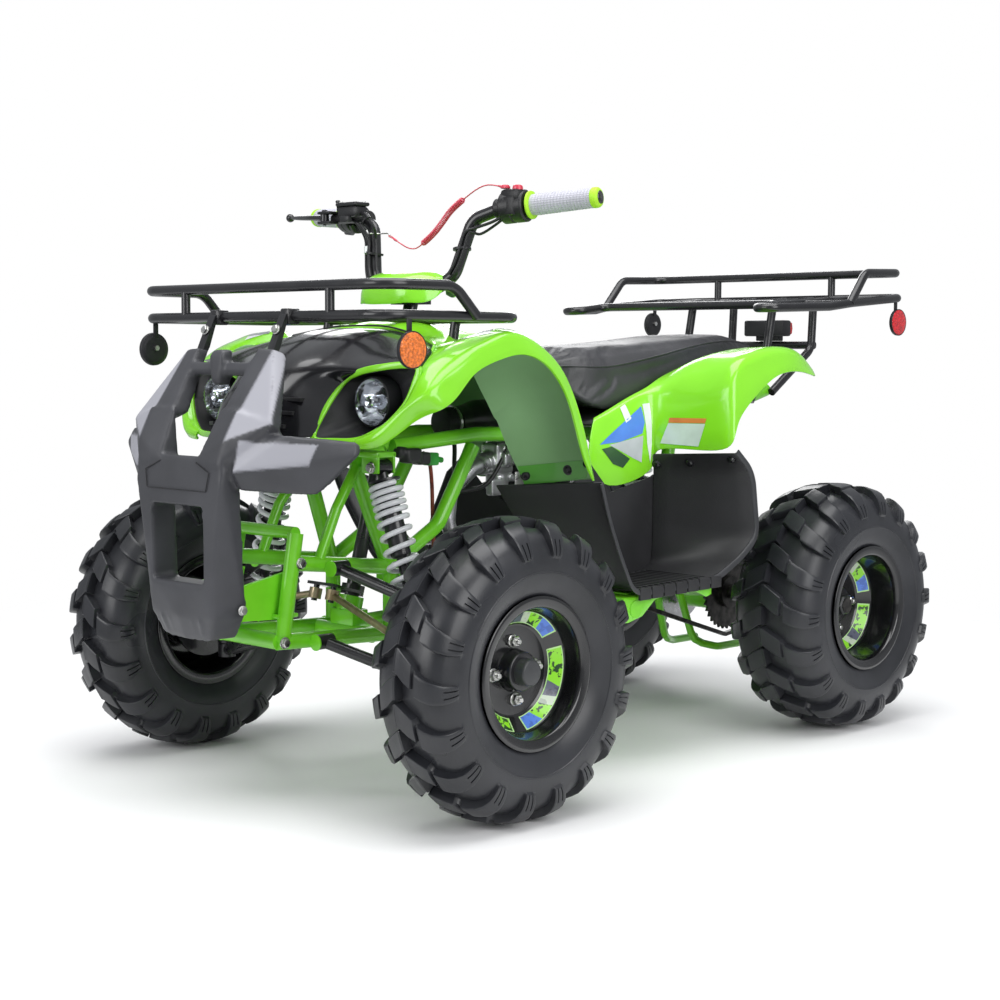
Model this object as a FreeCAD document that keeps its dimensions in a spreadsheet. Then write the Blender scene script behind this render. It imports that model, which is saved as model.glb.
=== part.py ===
import FreeCAD, Part
import math
import os
from FreeCAD import Vector

# A small four-wheeled quad bike, standing on its tyres, in millimetres.
# +Z is up, -Y is the front, +X is the rider's left, and the floor is z = 0.

doc = FreeCAD.newDocument("QuadBike")

# Driving sizes: every cell holds one plain number under the name in the first column.
SIZES = [
    # stance
    ("wheelbase", 1008),
    ("front_axle_y", -459),
    ("front_track_half", 411),
    ("rear_track_half", 322),
    # tyres and rims
    ("tyre_radius", 238.5),
    ("lug_height", 16),
    ("lug_pairs", 18),
    ("lug_arc", 32),
    ("lug_sweep", 11),
    ("front_tyre_width", 162),
    ("rear_tyre_width", 190),
    ("front_rim_half_width", 65.3),
    ("rear_rim_half_width", 86.1),
    ("rim_flange_radius", 119.5),
    ("rim_seat_radius", 101.6),
    ("rim_wall", 4),
    ("rim_disc_radius", 72),
    ("rim_bore_radius", 30),
    ("front_disc_offset", 14),
    ("rear_disc_offset", 6),
    ("stud_circle", 92),
    # hubs, brakes and axle
    ("spindle_radius", 12.5),
    ("running_gap", 0.05),
    ("seat_gap", 0.3),
    ("hub_radius", 30),
    ("hub_flange_wall", 10),
    ("flange_margin", 12),
    ("pilot_gap", 1.5),
    ("brake_inset", 46),
    ("hub_cap_radius", 20),
    ("hub_cap_reach", 34),
    ("brake_disc_radius", 70),
    ("brake_disc_wall", 4),
    ("axle_radius", 15),
    ("axle_reach", 30),
    ("rear_hub_radius", 26),
    ("rear_hub_length", 45),
    ("carrier_radius", 33),
    ("carrier_half", 12),
    ("sprocket_radius", 78),
    ("sprocket_x", 62),
    ("sprocket_teeth", 34),
    ("tooth_depth", 8),
    # steering
    ("kingpin_x", 305),
    ("kingpin_radius", 8),
    ("kingpin_low_z", 186),
    ("kingpin_high_z", 306),
    ("knuckle_arm", 85),
    ("pitman_arm", 62),
    ("stem_radius", 12.5),
    ("stem_foot_y", -421),
    ("stem_foot_z", 316),
    ("stem_rake_deg", 15.4),
    ("stem_length", 518),
    ("cover_drop", 38.4),
    ("tie_rod_radius", 6),
    ("ball_pin_radius", 5),
    ("bar_radius", 11.1),
    ("grip_inner_radius", 18.5),
    ("grip_end_radius", 15.5),
    ("grip_length", 120),
    ("switch_drum_radius", 27.5),
    # frame and suspension
    ("frame_tube_radius", 13),
    ("frame_half_width", 75),
    ("arm_tube_radius", 10),
    ("spring_radius", 29),
    ("spring_wire_radius", 4.5),
    ("spring_turns", 9),
    # racks
    ("rack_tube_radius", 9.5),
    ("rack_slat_radius", 6),
    ("rack_bend_radius", 45),
    ("tube_sides", 8),
    ("front_rack_z", 785),
    ("front_rack_rail_z", 832),
    ("front_rack_half_width", 314),
    ("front_rack_front_y", -628),
    ("front_rack_back_y", -333),
    ("rear_rack_half_width", 320),
    ("rear_rack_back_y", 776),
    # kill-switch cord
    ("cord_radius", 1.15),
    ("cord_coil_radius", 6),
    # bodywork
    ("panel_wall", 4),
    ("wheel_clearance", 27.5),
    ("fender_edge_x", 340),
    ("headlamp_x", 201),
    ("headlamp_y", -538),
    ("headlamp_z", 650),
    ("headlamp_radius", 38),
    ("footwell_inner_x", 168),
    ("footwell_outer_x", 330),
    ("footwell_floor_z", 312),
    ("reflector_radius", 29),
    ("tail_reflector_radius", 27),
]

sheet = doc.addObject("Spreadsheet::Sheet", "Sizes")
for row, (alias, value) in enumerate(SIZES, start=1):
    sheet.set("A%d" % row, alias)
    sheet.set("B%d" % row, str(value))
    sheet.setAlias("B%d" % row, alias)
doc.recompute()


class Size:
    """Reads one named size from the sheet: size.wheelbase is the cell named wheelbase."""

    def __getattr__(self, alias):
        return float(sheet.get(alias))


size = Size()
rear_axle_y = size.front_axle_y + size.wheelbase
axle_z = size.tyre_radius
made = []


# Helpers for features bound to the sheet

def bar_on_axle(name, radius, start, end, axle_y):
    """A round bar along X on an axle's line: its radius, ends and place are expressions on the sheet."""
    bar = doc.addObject("Part::Cylinder", name)
    bar.Placement = FreeCAD.Placement(Vector(), FreeCAD.Rotation(Vector(0, 1, 0), 90))
    bar.setExpression("Radius", radius)
    bar.setExpression("Height", "(%s) - (%s)" % (end, start))
    bar.setExpression("Placement.Base.x", start)
    bar.setExpression("Placement.Base.y", axle_y)
    bar.setExpression("Placement.Base.z", "Sizes.tyre_radius")
    return bar


def fusion(name, things):
    """The union of several objects."""
    union = doc.addObject("Part::MultiFuse", name)
    union.Shapes = things
    union.Refine = True
    return union


def difference(name, base, tool):
    """The first object without the second."""
    cut = doc.addObject("Part::Cut", name)
    cut.Base = base
    cut.Tool = tool
    return cut


def mirror_of(name, source):
    """The source mirrored in the middle plane."""
    mirror = doc.addObject("Part::Mirroring", name)
    mirror.Source = source
    mirror.Normal = Vector(1, 0, 0)
    return mirror


def keep(thing):
    """Count a finished object among the sub-parts."""
    made.append(thing)
    return thing


# Helpers for shapes

def piece(label, shape):
    """Store one sub-part under its own label, with its placement at the origin."""
    thing = doc.addObject("Part::Feature", label)
    thing.Label = label
    thing.Shape = shape
    thing.Placement = FreeCAD.Placement()
    made.append(thing)
    return thing


def mirrored(shape):
    """The same shape on the other side of the middle plane."""
    return shape.mirror(Vector(0, 0, 0), Vector(1, 0, 0))


def joined(shapes):
    """One shape fused from all in the list."""
    if len(shapes) == 1:
        return shapes[0]
    return shapes[0].multiFuse(shapes[1:]).removeSplitter()


def both_sides(shape):
    """A left shape and its mirror image, as separate solids of one piece."""
    return Part.makeCompound([shape, mirrored(shape)])


def flat_faces(corners):
    """One face if the corners lie in a plane, else triangles."""
    a, b, c = corners[0], corners[1], corners[2]
    normal = (b - a).cross(c - a)
    if normal.Length > 1e-9:
        normal.normalize()
        if all(abs((p - a).dot(normal)) < 1e-7 for p in corners[3:]):
            return [Part.Face(Part.makePolygon(list(corners) + [a]))]
    faces = []
    for i in range(1, len(corners) - 1):
        triangle = [a, corners[i], corners[i + 1]]
        if (triangle[1] - a).cross(triangle[2] - a).Length > 1e-6:
            faces.append(Part.Face(Part.makePolygon(triangle + [a])))
    return faces


def solid_of(faces):
    """A closed solid sewn from flat faces."""
    shell = Part.Shell(faces)
    shell.sewShape()
    solid = Part.Solid(shell if shell.ShapeType == "Shell" else shell.Shells[0])
    if solid.Volume < 0:
        solid.reverse()
    return solid


def loft(sections):
    """A solid with flat sides through closed sections that have the same count of corners."""
    faces = flat_faces(sections[0]) + flat_faces(sections[-1])
    for first, second in zip(sections, sections[1:]):
        count = len(first)
        for i in range(count):
            j = (i + 1) % count
            faces += flat_faces([first[i], first[j], second[j], second[i]])
    return solid_of(faces)


def panel(rows, drops):
    """A moulded sheet: rows of points on its outer face, and each column's drop to its inner face."""
    if isinstance(drops, Vector):
        drops = [drops] * len(rows[0])
    inner = [[point + drop for point, drop in zip(row, drops)] for row in rows]
    faces = []
    for outer_rows, inner_rows in ((rows[i:i + 2], inner[i:i + 2]) for i in range(len(rows) - 1)):
        for j in range(len(rows[0]) - 1):
            for a, b in (outer_rows, inner_rows):
                faces += flat_faces([a[j], a[j + 1], b[j + 1], b[j]])
    edges = [(rows[0], inner[0]), (rows[-1], inner[-1]),
             ([r[0] for r in rows], [r[0] for r in inner]),
             ([r[-1] for r in rows], [r[-1] for r in inner])]
    for top, low in edges:
        for j in range(len(top) - 1):
            faces += flat_faces([top[j], top[j + 1], low[j + 1], low[j]])
    return solid_of(faces)


def bent(points, radius, chords=2):
    """The path with each inner corner turned into short chords of a bend."""
    points = [Vector(*p) for p in points]
    path = [points[0]]
    for before, corner, after in zip(points, points[1:], points[2:]):
        back = (before - corner).normalize()
        ahead = (after - corner).normalize()
        half_turn = (math.pi - back.getAngle(ahead)) / 2
        if half_turn < 0.02:
            path.append(corner)
            continue
        shorter = min((before - corner).Length, (after - corner).Length)
        reach = min(radius * math.tan(half_turn), 0.48 * shorter)
        bend = reach / math.tan(half_turn)
        centre = corner + (back + ahead).normalize() * (bend / math.cos(half_turn))
        start = corner + back * reach - centre
        axis = start.cross(corner + ahead * reach - centre).normalize()
        for step in range(chords + 1):
            turn = FreeCAD.Rotation(axis, math.degrees(2 * half_turn) * step / chords)
            path.append(centre + turn.multVec(start))
    path.append(points[-1])
    return path


def tube(points, radius, bend=0.0, sides=0, chords=2):
    """A tube with flat sides along a path, mitred at each corner of the path."""
    path = bent(points, bend, chords) if bend else [Vector(*p) for p in points]
    sides = int(sides or size.tube_sides)
    way = (path[1] - path[0]).normalize()
    side_way = way.cross(Vector(0, 0, 1))
    if side_way.Length < 0.2:
        side_way = way.cross(Vector(1, 0, 0))
    side_way.normalize()
    up_way = side_way.cross(way)
    section = []
    for i in range(sides):
        angle = 2 * math.pi * (i + 0.5) / sides
        section.append(path[0] + side_way * (radius * math.cos(angle)) + up_way * (radius * math.sin(angle)))
    sections = [section]
    for i in range(1, len(path)):
        way = (path[i] - path[i - 1]).normalize()
        ahead = (path[i + 1] - path[i]).normalize() if i + 1 < len(path) else way
        cut = (way + ahead).normalize()
        section = [p + way * ((path[i] - p).dot(cut) / way.dot(cut)) for p in section]
        sections.append(section)
    return loft(sections)


# The share of a flat-sided tube's radius at which its flats lie.
tube_flat = math.cos(math.pi / size.tube_sides)


def rod(start, end, radius):
    """A plain round bar from one point to another."""
    start = Vector(*start)
    way = Vector(*end) - start
    return Part.makeCylinder(radius, way.Length, start, way)


def block(low, high):
    """A box between its lowest and highest corners."""
    low = Vector(*low)
    span = Vector(*high) - low
    return Part.makeBox(span.x, span.y, span.z, low)


def slab(outline, low_x, high_x):
    """A plate of an outline of (y, z) points, from one x to another."""
    wire = Part.makePolygon([Vector(low_x, y, z) for y, z in outline + outline[:1]])
    return Part.Face(wire).extrude(Vector(high_x - low_x, 0, 0))


# Wheels

def between(first, second, centre_y):
    """Triangles that join two rings of corners round the same axle, whatever the angles of their corners."""
    def turn(point):
        return math.atan2(point.z - axle_z, point.y - centre_y)
    first = sorted(first, key=turn)
    second = sorted(second, key=turn)
    i = j = 0
    faces = []
    while i < len(first) or j < len(second):
        a, b = first[i % len(first)], second[j % len(second)]
        next_a, next_b = first[(i + 1) % len(first)], second[(j + 1) % len(second)]
        turn_a = turn(next_a) + (2 * math.pi if i + 1 >= len(first) else 0)
        turn_b = turn(next_b) + (2 * math.pi if j + 1 >= len(second) else 0)
        if j >= len(second) or (i < len(first) and turn_a <= turn_b):
            faces += flat_faces([a, next_a, b])
            i += 1
        else:
            faces += flat_faces([a, next_b, b])
            j += 1
    return faces


def tyre(centre_x, centre_y, width, rim_half_width):
    """Filled tyre with swept lugs that reach down the shoulders, half a pitch apart on the two sides."""
    half = width / 2
    bead = rim_half_width - size.rim_wall - 1
    base = size.tyre_radius - size.lug_height
    lugs = int(size.lug_pairs)
    pitch = 2 * math.pi / lugs
    spread = size.lug_arc / size.tyre_radius / 2
    seat = size.rim_seat_radius / math.cos(pitch / 2 - 0.8 * spread)
    # Each station from the middle outwards: offset, carcass radius, lug radius and share of the lug's arc.
    stations = [(3, base - 6, size.tyre_radius, 0.85), (half - 24, base - 9, size.tyre_radius - 2, 1.0),
                (half - 4, base - 30, base - 10, 0.95), (half, base - 52, base - 46, 0.8)]
    side_rows = [(bead, size.rim_flange_radius), (bead, seat)]

    def corner(side, x, radius, lag, edge):
        """One corner on a side of the tyre: edges 2n and 2n + 1 bound the lug n."""
        middle = pitch * (edge // 2 + (0.5 if side < 0 else 0)) - math.pi / 2
        share = stations[min(lag, len(stations) - 1)][3]
        turn = math.radians(size.lug_sweep) * (min(lag, 3) / 3 - 0.5)
        angle = middle - turn + spread * share * (1 if edge % 2 else -1)
        return Vector(centre_x + side * x, centre_y + radius * math.cos(angle),
                      axle_z + radius * math.sin(angle))

    faces = []
    inner_edges = {}
    bore_edges = {}
    for side in (-1, 1):
        edges = range(2 * lugs)
        low = [[corner(side, x, r, k, edge) for edge in edges] for k, (x, r, _, _) in enumerate(stations)]
        high = [[corner(side, x, r, k, edge) for edge in edges] for k, (x, _, r, _) in enumerate(stations)]
        wall = [low[-1]] + [[corner(side, x, r, 3, edge) for edge in edges] for x, r in side_rows]
        for edge in edges:
            ahead = (edge + 1) % (2 * lugs)
            for k in range(len(stations) - 1):
                top = low if edge % 2 else high
                faces += flat_faces([top[k][edge], top[k][ahead], top[k + 1][ahead], top[k + 1][edge]])
                faces += flat_faces([low[k][edge], high[k][edge], high[k + 1][edge], low[k + 1][edge]])
            if edge % 2 == 0:
                for k in (0, -1):
                    faces += flat_faces([low[k][edge], low[k][ahead], high[k][ahead], high[k][edge]])
            for row, outer in zip(wall, wall[1:]):
                faces += flat_faces([row[edge], row[ahead], outer[ahead], outer[edge]])
        inner_edges[side] = low[0]
        bore_edges[side] = wall[-1]
    for rings in (inner_edges, bore_edges):
        faces += between(rings[-1], rings[1], centre_y)
    return solid_of(faces)


def rim(centre_x, centre_y, half_width, disc_offset):
    """Pressed steel rim, revolved: flanges, barrel, sloped band and a flat disc bored for the hub."""
    seat = size.rim_seat_radius
    flange = size.rim_flange_radius
    wall = size.rim_wall
    barrel = seat - wall
    disc = size.rim_disc_radius
    slope = disc + 24
    profile = [(-half_width, flange), (-half_width + wall, flange), (-half_width + wall, seat),
               (half_width - wall, seat), (half_width - wall, flange), (half_width, flange),
               (half_width, seat), (half_width - wall, barrel), (disc_offset + 20, slope),
               (disc_offset, disc), (disc_offset, size.rim_bore_radius),
               (disc_offset - wall, size.rim_bore_radius), (disc_offset - wall, disc + 2),
               (disc_offset + 12, slope), (-half_width + wall, barrel), (-half_width, seat)]
    corners = [Vector(centre_x + x, centre_y, axle_z + radius) for x, radius in profile]
    face = Part.Face(Part.makePolygon(corners + corners[:1]))
    return face.revolve(Vector(centre_x, centre_y, axle_z), Vector(1, 0, 0), 360)


# Front hubs: barrel on the spindle, stud flange behind the rim's disc, pilot, grey cap and brake disc

FRONT_Y = "Sizes.front_axle_y"
FRONT_BACK = "Sizes.front_track_half + Sizes.front_disc_offset - Sizes.rim_wall"
FRONT_BRAKE = "Sizes.front_track_half - Sizes.brake_inset"
PILOT_RADIUS = "Sizes.rim_bore_radius - Sizes.pilot_gap"
FLANGE_RADIUS = "Sizes.stud_circle / 2 + Sizes.flange_margin"

hub_turned = fusion("hub_turned", [
    bar_on_axle("hub_flange", FLANGE_RADIUS, FRONT_BACK + " - Sizes.hub_flange_wall", FRONT_BACK, FRONT_Y),
    bar_on_axle("hub_barrel", "Sizes.hub_radius", FRONT_BRAKE + " - 2 * Sizes.brake_disc_wall", FRONT_BACK,
                FRONT_Y),
    bar_on_axle("hub_brake", "Sizes.brake_disc_radius", FRONT_BRAKE, FRONT_BRAKE + " + Sizes.brake_disc_wall",
                FRONT_Y),
    bar_on_axle("hub_pilot", PILOT_RADIUS, FRONT_BACK, FRONT_BACK + " + Sizes.rim_wall + 8", FRONT_Y),
    bar_on_axle("hub_cap", "Sizes.hub_cap_radius", FRONT_BACK, FRONT_BACK + " + Sizes.hub_cap_reach",
                FRONT_Y)])
hub_bore = bar_on_axle("hub_bore", "Sizes.spindle_radius + Sizes.running_gap",
                       FRONT_BRAKE + " - 5 * Sizes.brake_disc_wall", FRONT_BACK + " + 6", FRONT_Y)
hub_left = keep(difference("hub_front_left", hub_turned, hub_bore))
keep(mirror_of("hub_front_right", hub_left))


front_x = size.front_track_half
rear_x = size.rear_track_half
front_tyre = tyre(front_x, size.front_axle_y, size.front_tyre_width, size.front_rim_half_width)
front_rim = rim(front_x, size.front_axle_y, size.front_rim_half_width, size.front_disc_offset)
rear_tyre = tyre(rear_x, rear_axle_y, size.rear_tyre_width, size.rear_rim_half_width)
rear_rim = rim(rear_x, rear_axle_y, size.rear_rim_half_width, size.rear_disc_offset)
piece("tyre_front_left", front_tyre)
piece("tyre_front_right", mirrored(front_tyre))
piece("rim_front_left", front_rim)
piece("rim_front_right", mirrored(front_rim))
piece("tyre_rear_left", rear_tyre)
piece("tyre_rear_right", mirrored(rear_tyre))
piece("rim_rear_left", rear_rim)
piece("rim_rear_right", mirrored(rear_rim))


# Rear axle: one shaft with both hubs, and the sprocket and brake disc on it

REAR_Y = "Sizes.front_axle_y + Sizes.wheelbase"
REAR_BACK = "Sizes.rear_track_half + Sizes.rear_disc_offset - Sizes.rim_wall"

axle_half = fusion("axle_half", [
    bar_on_axle("axle_shaft", "Sizes.axle_radius", "0", REAR_BACK + " + Sizes.rim_wall + Sizes.axle_reach",
                REAR_Y),
    bar_on_axle("axle_flange", FLANGE_RADIUS, REAR_BACK + " - Sizes.hub_flange_wall", REAR_BACK, REAR_Y),
    bar_on_axle("axle_barrel", "Sizes.rear_hub_radius", REAR_BACK + " - Sizes.rear_hub_length", REAR_BACK,
                REAR_Y),
    bar_on_axle("axle_pilot", PILOT_RADIUS, REAR_BACK, REAR_BACK + " + Sizes.rim_wall + 10", REAR_Y)])
keep(fusion("rear_axle", [axle_half, mirror_of("axle_other_half", axle_half)]))


def sprocket():
    """Toothed rear sprocket round its carrier on the shaft."""
    y = rear_axle_y
    x = size.sprocket_x
    teeth = int(size.sprocket_teeth)
    outline = []
    for step in range(teeth * 2):
        radius = size.sprocket_radius if step % 2 else size.sprocket_radius - size.tooth_depth
        angle = math.pi * step / teeth
        outline.append((y + radius * math.cos(angle), axle_z + radius * math.sin(angle)))
    plate = slab(outline, x - 2.5, x + 2.5)
    carrier = rod((x - size.carrier_half, y, axle_z), (x + size.carrier_half, y, axle_z), size.carrier_radius)
    bore = rod((x - 20, y, axle_z), (x + 20, y, axle_z), size.axle_radius)
    return joined([plate, carrier]).cut(bore)


piece("rear_sprocket", sprocket())

disc_turned = fusion("disc_turned", [
    bar_on_axle("disc_plate", "Sizes.brake_disc_radius", "-Sizes.sprocket_x - Sizes.brake_disc_wall / 2",
                "-Sizes.sprocket_x + Sizes.brake_disc_wall / 2", REAR_Y),
    bar_on_axle("disc_carrier", "Sizes.carrier_radius", "-Sizes.sprocket_x - Sizes.carrier_half",
                "-Sizes.sprocket_x + Sizes.carrier_half", REAR_Y)])
disc_bore = bar_on_axle("disc_bore", "Sizes.axle_radius", "-Sizes.sprocket_x - 20", "-Sizes.sprocket_x + 20",
                        REAR_Y)
keep(difference("rear_brake_disc", disc_turned, disc_bore))


# Front knuckles, one each side, on a kingpin between the arms' ends

def knuckle():
    """Left knuckle: kingpin barrel, spindle, steering arm with its ball stud, and caliper."""
    x = size.kingpin_x
    y = size.front_axle_y
    low = size.kingpin_low_z + 14
    high = size.kingpin_high_z - 14
    arm_y = y - size.knuckle_arm
    spindle_end = size.front_track_half + size.front_disc_offset
    body = [rod((x, y, low), (x, y, high), 17),
            rod((x, y, axle_z), (spindle_end - 2, y, axle_z), size.spindle_radius),
            rod((x, y, axle_z), (x + 34, y, axle_z), 24),
            tube([(x, y, axle_z - 6), (x - 8, y - 30, axle_z - 4), (x - 13, arm_y, axle_z - 4)], 9),
            rod((x - 13, arm_y, axle_z - 13), (x - 13, arm_y, axle_z + 3), 12),
            rod((x - 13, arm_y, axle_z), (x - 13, arm_y, axle_z + 9), 5)]
    brake_x = size.front_track_half - size.brake_inset
    caliper = block((brake_x - 26, y + 44, axle_z - 17), (brake_x + 26, y + 90, axle_z + 17))
    gap = block((brake_x - 5, y, axle_z - 60),
                (brake_x + size.brake_disc_wall + 5, y + size.brake_disc_radius + 5, axle_z + 60))
    bracket = block((x + 4, y + 6, axle_z - 12), (brake_x - 20, y + 60, axle_z + 12))
    pin_hole = rod((x, y, low - 5), (x, y, high + 5), size.kingpin_radius + size.running_gap)
    return joined(body + [caliper.cut(gap), bracket]).cut(pin_hole)


knuckle_shape = knuckle()
piece("knuckle_left", knuckle_shape)
piece("knuckle_right", mirrored(knuckle_shape))


# Steering

rake = math.radians(size.stem_rake_deg)
stem_way = Vector(0, math.sin(rake), math.cos(rake))
stem_foot = Vector(0, size.stem_foot_y, size.stem_foot_z)
stem_top = stem_foot + stem_way * size.stem_length
pitman_ball_x = 22
forward_way = Vector(0, -math.cos(rake), math.sin(rake))
pitman_centre = stem_foot + forward_way * size.pitman_arm


def steering_stem():
    """Stem tube with the forked plate at its foot that the tie rods hang on."""
    stem = rod(tuple(stem_foot - stem_way * 22), tuple(stem_top), size.stem_radius)
    collar = rod(tuple(stem_foot - stem_way * 4), tuple(stem_foot + stem_way * 14), 20)
    sections = []
    for reach, half in ((0, 20), (size.pitman_arm + 12, 34)):
        middle = stem_foot + forward_way * reach
        left = middle + Vector(half, 0, 0)
        right = middle - Vector(half, 0, 0)
        sections.append([left, right, right + stem_way * 5, left + stem_way * 5])
    clamp = bar_clamp(0).cut(whole_bar(0.2))
    pins = []
    for x in (-pitman_ball_x, pitman_ball_x):
        ball = pitman_centre + Vector(x, 0, 0)
        pins.append(rod(tuple(ball), tuple(ball - stem_way * 27), size.ball_pin_radius))
    return joined([stem, collar, loft(sections), clamp] + pins)


def tie_rod():
    """Left tie rod with a ball end on the pitman plate's pin and one above the knuckle's arm."""
    inner = pitman_centre + Vector(pitman_ball_x, 0, 0) - stem_way * 14
    outer = Vector(size.kingpin_x - 13, size.front_axle_y - size.knuckle_arm, axle_z + 26)
    end_half = 9
    end_radius = 11
    up = Vector(0, 0, end_half)
    ends = [rod(tuple(inner - stem_way * end_half), tuple(inner + stem_way * end_half), end_radius),
            rod(tuple(outer - up), tuple(outer + up), end_radius)]
    bar = joined([rod(tuple(inner), tuple(outer), size.tie_rod_radius)] + ends)
    bore_radius = size.ball_pin_radius + size.running_gap
    return bar.cut(rod(tuple(inner - stem_way * 20), tuple(inner + stem_way * 20), bore_radius))


tie_rod_shape = tie_rod()
piece("tie_rod_left", tie_rod_shape)
piece("tie_rod_right", mirrored(tie_rod_shape))


def from_stem(x, y, z):
    """A place on the handlebar group, given from the top of the stem."""
    return (x, stem_top.y + y, stem_top.z + z)


bar_path = [from_stem(0, -1.6, 22.6), from_stem(70, -0.6, 24.6), from_stem(102, 7.4, 46.6),
            from_stem(127, 26.4, 139.6), from_stem(182, 39.4, 156.6), from_stem(362, 89, 169)]
grip_way = (Vector(*bar_path[5]) - Vector(*bar_path[4])).normalize()
grip_start_x = 241
drum_start_x = 187


def handlebar():
    """Bent tube handlebar, level in the middle, with risers and swept ends."""
    return whole_bar(0)


def half_bar(extra):
    """The left half of the handlebar's tube, larger by extra where it is used as a cutter."""
    return tube(bar_path, size.bar_radius + extra, bend=32, sides=10)


def whole_bar(extra):
    """Both halves of the handlebar's tube."""
    return joined([half_bar(extra), mirrored(half_bar(extra))])


def bar_clamp(extra):
    """Clamp block at the stem's top, larger by extra where it is used as a cutter."""
    return block(from_stem(-32 - extra, -19.6 - extra, -3.4 - extra),
                 from_stem(32 + extra, 17.4 + extra, 36.6 + extra))


def along_grip(x, radius, length):
    """A round bar on the handlebar's end run, from the given x outwards."""
    start = Vector(*bar_path[4])
    start = start + grip_way * ((x - start.x) / grip_way.x)
    return rod(tuple(start), tuple(start + grip_way * length), radius)


def grip():
    """Left rubber grip: flange, tapered sleeve and rounded end cap, bored for the bar."""
    start = Vector(*bar_path[4])
    start = start + grip_way * ((grip_start_x - start.x) / grip_way.x)
    sleeve = Part.makeCone(size.grip_inner_radius, size.grip_end_radius, size.grip_length, start, grip_way)
    end_x = grip_start_x + size.grip_length * grip_way.x
    body = joined([sleeve, along_grip(grip_start_x - 5, 24.5, 6),
                   along_grip(end_x - 8, size.grip_end_radius + 2, 14)])
    return body.cut(half_bar(0.3))


up_way = Vector(0, 0, 1)
lever_pivot = Vector(*from_stem(-216, -15.6, 155.6))


def bar_controls():
    """Switch drum on the left, and the throttle drum with the brake's master cylinder on the right."""
    drum_length = 46
    left = joined([along_grip(drum_start_x, size.switch_drum_radius, drum_length),
                   along_grip(drum_start_x - 14, 17, 16),
                   block(from_stem(192, 24, 170), from_stem(232, 50, 188))])
    right = joined([mirrored(along_grip(drum_start_x, size.switch_drum_radius, drum_length)),
                    mirrored(along_grip(drum_start_x - 40, 15.5, 41)),
                    block(from_stem(-212, -8, 146), from_stem(-150, 36, 166)),
                    block(from_stem(-178, -22, 158), from_stem(-124, 12, 182)),
                    block(lever_pivot + Vector(-10, -10, -11), lever_pivot + Vector(20, 12, -5.8)),
                    block(lever_pivot + Vector(-10, -10, 7), lever_pivot + Vector(20, 12, 12)),
                    rod(tuple(lever_pivot - up_way * 11), tuple(lever_pivot + up_way * 12), 3)])
    return Part.makeCompound([left.cut(half_bar(0.3)), right.cut(mirrored(half_bar(0.3)))])


def brake_lever():
    """Brake lever on the right, pivoted in the perch and ending in a ball with flat sides."""
    pivot = lever_pivot
    arm = tube([pivot, pivot + Vector(-34, -4, 2), pivot + Vector(-118, 18, 7)], 5.5, bend=20)
    eye = rod(tuple(pivot - up_way * 5.5), tuple(pivot + up_way * 6.7), 8)
    tip = pivot + Vector(-122, 19, 7.2)
    way = Vector(-0.965, 0.252, 0.057)
    rings = []
    for along, radius in ((-7.4, 3), (-5, 6.6), (0, 8), (5, 6.6), (7.4, 3)):
        corners = [way.cross(up_way).normalize() * radius]
        turn = FreeCAD.Rotation(way, 360 / 8)
        for step in range(7):
            corners.append(turn.multVec(corners[-1]))
        rings.append([tip + way * along + corner for corner in corners])
    ball = loft(rings)
    pin_hole = rod(tuple(pivot - up_way * 20), tuple(pivot + up_way * 20), 3 + size.running_gap)
    return joined([arm, eye, ball]).cut(pin_hole)


def handlebar_cover():
    """Crowned cover over the handlebar's middle and the stem's top, notched below for the bar."""
    sections = []
    for y, half_x, low, high in ((-58, 50, 20, 44), (-40, 82, 2, 53), (4, 92, -8, 57), (44, 62, 6, 46)):
        outline = ((1, 12), (0.92, high - low - 14), (0.72, high - low - 3), (0.3, high - low))
        right = [Vector(*from_stem(half_x * share, y, low + rise)) for share, rise in outline]
        left = [Vector(*from_stem(-half_x * share, y, low + rise)) for share, rise in reversed(outline)]
        foot = [Vector(*from_stem(-half_x * 0.6, y, low)), Vector(*from_stem(half_x * 0.6, y, low))]
        sections.append(right + left + foot)
    cover = loft(sections)
    stem = rod(tuple(stem_foot), tuple(stem_top + stem_way * 3), size.stem_radius + size.seat_gap)
    return cover.cut(joined([whole_bar(0.4), bar_clamp(size.seat_gap), stem]))


def cord_path(points):
    """Straight runs joined by tangent arcs, each as large as its two runs allow."""
    points = [Vector(*point) for point in points]
    edges = []
    last = points[0]
    for before, corner, after in zip(points, points[1:], points[2:]):
        back = (before - corner).normalize()
        ahead = (after - corner).normalize()
        half_turn = (math.pi - back.getAngle(ahead)) / 2
        reach = 0.45 * min((before - corner).Length, (after - corner).Length)
        radius = reach / math.tan(half_turn)
        print("cord bend radius %.0f" % radius)
        middle_way = (back + ahead).normalize()
        middle = corner + middle_way * (radius / math.cos(half_turn) - radius)
        start = corner + back * reach
        end = corner + ahead * reach
        edges += [Part.LineSegment(last, start).toShape(), Part.Arc(start, middle, end).toShape()]
        last = end
    edges.append(Part.LineSegment(last, points[-1]).toShape())
    return Part.Wire(edges)


def cord(points, radius):
    """A round cord along the path through the points."""
    way = (Vector(*points[1]) - Vector(*points[0])).normalize()
    ring_edge = Part.Circle(Vector(*points[0]), way, radius).toShape()
    spine = cord_path(points)
    solid = spine.makePipeShell([Part.Wire(ring_edge)], True, False)
    expected = math.pi * radius ** 2 * spine.Length
    if abs(solid.Volume / expected - 1) > 0.02:
        raise RuntimeError("the cord's volume is off")
    return solid


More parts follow.
